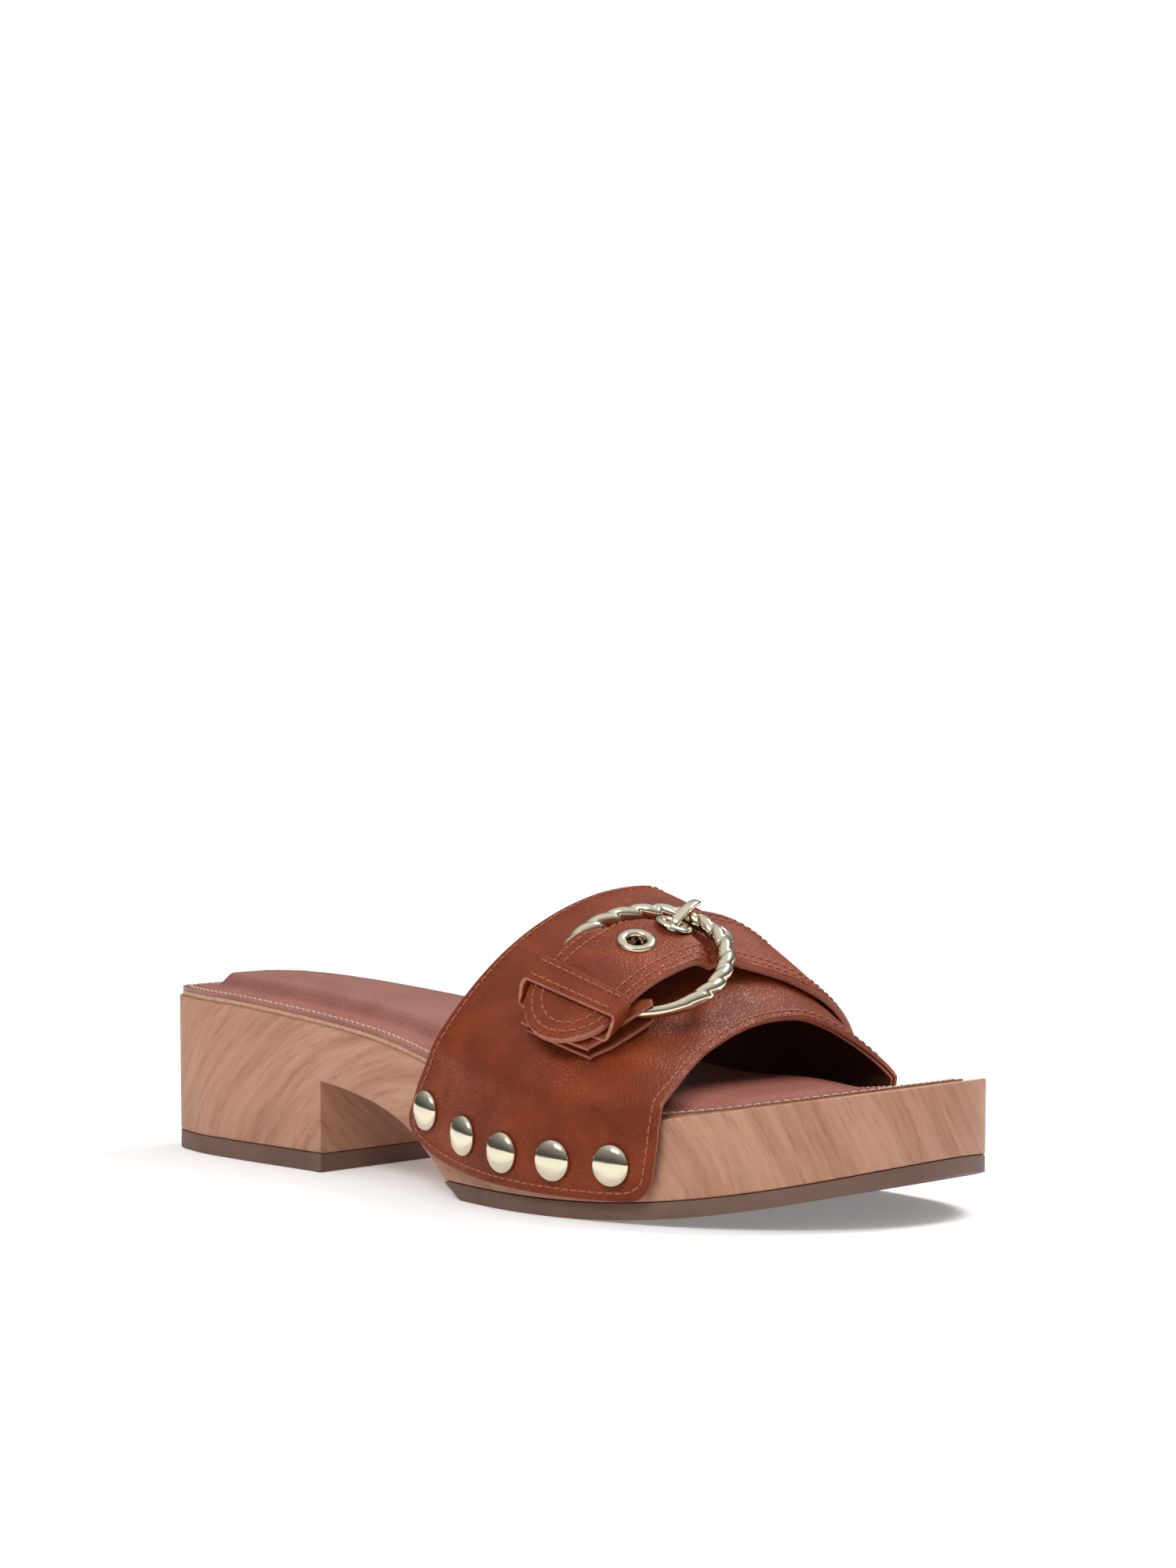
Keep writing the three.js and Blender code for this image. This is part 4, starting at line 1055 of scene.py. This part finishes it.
def strap_pace(t):
    """Millimetres along the strap for one whole unit of t."""
    line = strap_line(t)
    return float(np.linalg.norm(vamp_skin(t + 0.01, line) - vamp_skin(t - 0.01, line))) / 0.02


seat_pace = strap_pace(SEAT_T)


def fold_point(angle, w, offset):
    swing = np.arcsin(w / RING_RADIUS)
    reach = fold_radius + offset
    inward = RING_RADIUS - reach * np.sin(angle)
    return from_ring(np.stack([-np.cos(swing) * inward, -np.sin(swing) * inward,
                               -reach * np.cos(angle)], -1))


def chape_place(a, b, height):
    """a across the strip, b along it from its lower end round the fold to its upper end."""
    w = a - (STRAP_WIDTH - 1) / 2
    offset = CHAPE_THICKNESS / 2 - height
    run = b - CHAPE_TAIL
    lower = run <= 0
    back = np.clip(np.where(lower, -run, run - fold_run) / CHAPE_TAIL, 0, 1)
    rest = np.where(lower, GAP + CHAPE_THICKNESS / 2 - offset,
                    upper_chape + CHAPE_THICKNESS / 2 + offset)
    trimmed = 1 - 0.14 * smoothstep(back, 0.6, 1.0)
    t = SEAT_T - back * CHAPE_TAIL / seat_pace
    folded = fold_point(np.clip(run / fold_radius, 0, math.pi), w, offset)
    flat = strap_point(SEAT_T + 0 * t, w, rest)
    tail = strap_point(t, w * trimmed, rest)
    ease = smoothstep(1 - back, 0, 1) * lower + smoothstep(1 - back, 0.55, 1) * ~lower
    lying = tail + (folded - flat) * ease[..., None]
    return np.where(((run > 0) & (run < fold_run))[..., None], folded, lying)


chape_columns = steps_with_rims(2 * CHAPE_TAIL + fold_run, 0.6, 0.4)
chape = leather_piece("chape_strip", chape_place, steps_with_rims(STRAP_WIDTH - 1, 0.9, 0.4),
                      chape_columns, CHAPE_THICKNESS, 0.4, [tan_leather, edge_paint])
buckled = to_ring(eyelet_placing(EYELET_T[1])[1])
slot_x = -RING_RADIUS - BAR_RADIUS - PRONG_THICKNESS - 4 * GAP
slot_box = [(slot_x + 30 * i, buckled[1] + PRONG_SLOT * (j - 0.5), 40 * (k - 0.5))
            for i in (0, 1) for j in (0, 1) for k in (0, 1)]
slot_faces = [(0, 1, 3, 2), (4, 6, 7, 5), (0, 4, 5, 1), (2, 3, 7, 6), (0, 2, 6, 4), (1, 5, 7, 3)]
carve(chape, [(from_ring(slot_box), slot_faces)])
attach(chape, "clog")
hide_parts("chape")

# ---- Keeper loop ------------------------------------------------------------------------------------
# A narrow loop of leather round the strap near its tip, passing between the strap and the chape. It
# slides along the strap and holds the tip down. Two rows of thread run along it.
KEEPER_T = 0.1825
KEEPER_LEAN = 0.0245
KEEPER_WIDTH = 6.2
keeper_pace = strap_pace(KEEPER_T)
keeper_round = 1.8
keeper_under = upper_chape + CHAPE_THICKNESS
keeper_half = STRAP_WIDTH / 2 + 0.5


def keeper_section(reach, low, high, corner, at):
    """A point on a rounded box section round the strap, at a share of the way round it."""
    across_flat, up_flat = 2 * (reach - corner), high - low - 2 * corner
    arc = corner * math.pi / 2
    legs = [across_flat, arc, up_flat, arc] * 2
    ends = np.concatenate([[0], np.cumsum(legs)])
    run = (at % 1.0) * ends[-1]
    leg = int(min(np.searchsorted(ends, run, side="right") - 1, 7))
    share = (run - ends[leg]) / max(legs[leg], 1e-9)
    cx, cz = reach - corner, (high - low) / 2 - corner
    corners = [(-cx, cz), (cx, cz), (cx, -cz), (-cx, -cz)]
    if leg % 2 == 0:
        a, b = corners[leg // 2], corners[(leg // 2 + 1) % 4]
        normal = [(0, 1), (1, 0), (0, -1), (-1, 0)][leg // 2]
        x, z = a[0] + (b[0] - a[0]) * share, a[1] + (b[1] - a[1]) * share
    else:
        x, z = corners[(leg // 2 + 1) % 4]
        angle = math.radians(90 - 90 * (leg // 2)) - share * math.pi / 2
        normal = (math.cos(angle), math.sin(angle))
    return x + normal[0] * corner, (high + low) / 2 + z + normal[1] * corner, normal


def keeper_point(at, along, depth):
    """at: share of the way round; along: millimetres from its middle; depth: below its outer face."""
    t = KEEPER_T + along / keeper_pace
    top = float(under_strap(t + KEEPER_LEAN)) + STRAP_THICKNESS + 2.5 * GAP + KEEPER_THICKNESS
    x, z, normal = keeper_section(keeper_half + KEEPER_THICKNESS, keeper_under, top, keeper_round, at)
    t += KEEPER_LEAN * min(max((z - keeper_under) / (top - keeper_under), 0), 1)
    depth *= 1.0 if normal[1] > -0.5 else 0.6
    return strap_point(t, x - normal[0] * depth, z - normal[1] * depth)


def keeper_mesh():
    half, thick = KEEPER_WIDTH / 2, KEEPER_THICKNESS
    section = [(-half, 0.25), (-half + 0.12, 0.08), (-half + 0.35, 0.0)]
    section += [(a, 0.0) for a in np.linspace(-half + 0.8, half - 0.8, 6)]
    section += [(-a, d) for a, d in section[2::-1]]
    section += [(half, thick - 0.2), (half - 0.2, thick), (-half + 0.2, thick), (-half, thick - 0.2)]
    around = 120
    points = [keeper_point(i / around, along, depth) for i in range(around) for along, depth in section]
    n = len(section)
    paint = [int(j in (0, n - 6, n - 5, n - 1, n - 4, n - 2)) for i in range(around) for j in range(n)]
    return piece_from("keeper_strip", in_frame(points), tube_faces(around, n, True),
                      [tan_leather, edge_paint], paint, 60)


keeper = keeper_mesh()
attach(keeper, "keeper")
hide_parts("keeper_loop")
keeper_rows = []
for along in (-KEEPER_WIDTH / 2 + 1.3, KEEPER_WIDTH / 2 - 1.3):
    share = np.linspace(0.005, 0.36, 60)
    path = np.array([keeper_point(s, along, 0.0) for s in share])
    lift = np.array([keeper_point(s, along, -1.0) for s in share]) - path
    keeper_rows.append(stitch_row(path, lift, 2.3, 0.24))
keeper_seam = stitched("keeper_stitching", keeper_rows, tan_thread)
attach(keeper_seam, "keeper")

# ---- Prong ------------------------------------------------------------------------------------------
# A pale gold bar bent round the ring's plain bar. It runs under the strap, comes up through the middle
# eyelet, and rests over the far side of the ring with a rounded end.
EYE_REACH = BAR_RADIUS + GAP + PRONG_THICKNESS / 2
HUMP = WIRE_RADIUS + GAP + PRONG_THICKNESS / 2


def smooth_line(knots, count):
    """A smooth curve through knots in one plane."""
    p = np.array(knots, float)
    p = np.vstack([p[:1], p, p[-1:]])
    curve = []
    for i in range(1, len(p) - 2):
        for u in np.linspace(0, 1, count, endpoint=False):
            into, away = (p[i + 1] - p[i - 1]) / 2, (p[i + 2] - p[i]) / 2
            curve.append((2 * u ** 3 - 3 * u * u + 1) * p[i] + (u ** 3 - 2 * u * u + u) * into
                         + (3 * u * u - 2 * u ** 3) * p[i + 1] + (u ** 3 - u * u) * away)
    return curve + [p[-2]]


prong_line = [np.array([-RING_RADIUS + EYE_REACH * math.cos(a), EYE_REACH * math.sin(a)])
              for a in np.radians(np.arange(-35, -291, -7.5))]
ex, ez = buckled[0], buckled[2]
prong_line += smooth_line([(-RING_RADIUS + 3, 1.2), (-10, 0.1), (ex - 10, ez - 2.6),
                           (ex - 4.6, ez - 2.8), (ex - 1.9, ez - 2.2), (ex - 0.5, ez - 0.9),
                           (ex + 0.3, ez + 0.5), (ex + 1.6, ez + 1.6), (ex + 3.6, HUMP + 0.2),
                           (RING_RADIUS, HUMP + 0.2), (RING_RADIUS + 2.8, 2.6),
                           (RING_RADIUS + 4.6, 1.5)], 8)
prong_line = np.array(prong_line)


def bent_bar(name, line, wide, thick, at_y):
    """A bar with a domed outer face, bent along a line in the ring's x-z plane, with round ends."""
    ahead = unit(np.gradient(line, axis=0))
    out = np.stack([-ahead[:, 1], ahead[:, 0]], 1)
    run = lengths(line)
    sides = 20
    points = []
    for i, (x, z) in enumerate(line):
        end = min(run[i], run[-1] - run[i]) / (wide / 2)
        narrow = math.sqrt(max(1 - (1 - min(end, 1)) ** 2, 0.02))
        for k in range(sides):
            a = 2 * math.pi * k / sides
            c, s = math.cos(a), math.sin(a)
            side = wide / 2 * narrow * math.copysign(abs(c) ** 0.7, c)
            up = thick / 2 * (0.55 + 0.45 * narrow) * math.copysign(abs(s) ** 0.7, s)
            points.append((x + out[i, 0] * up, at_y + side, z + out[i, 1] * up))
    faces = tube_faces(len(line), sides)
    last = (len(line) - 1) * sides
    faces += [tuple(range(sides))[::-1], tuple(last + k for k in range(sides))]
    return piece_from(name, in_frame(from_ring(points)), faces, [pale_gold], None, 50)


prong = bent_bar("prong_bar", prong_line, PRONG_WIDTH, PRONG_THICKNESS, buckled[1])
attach(prong, "prong")
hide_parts("prong")
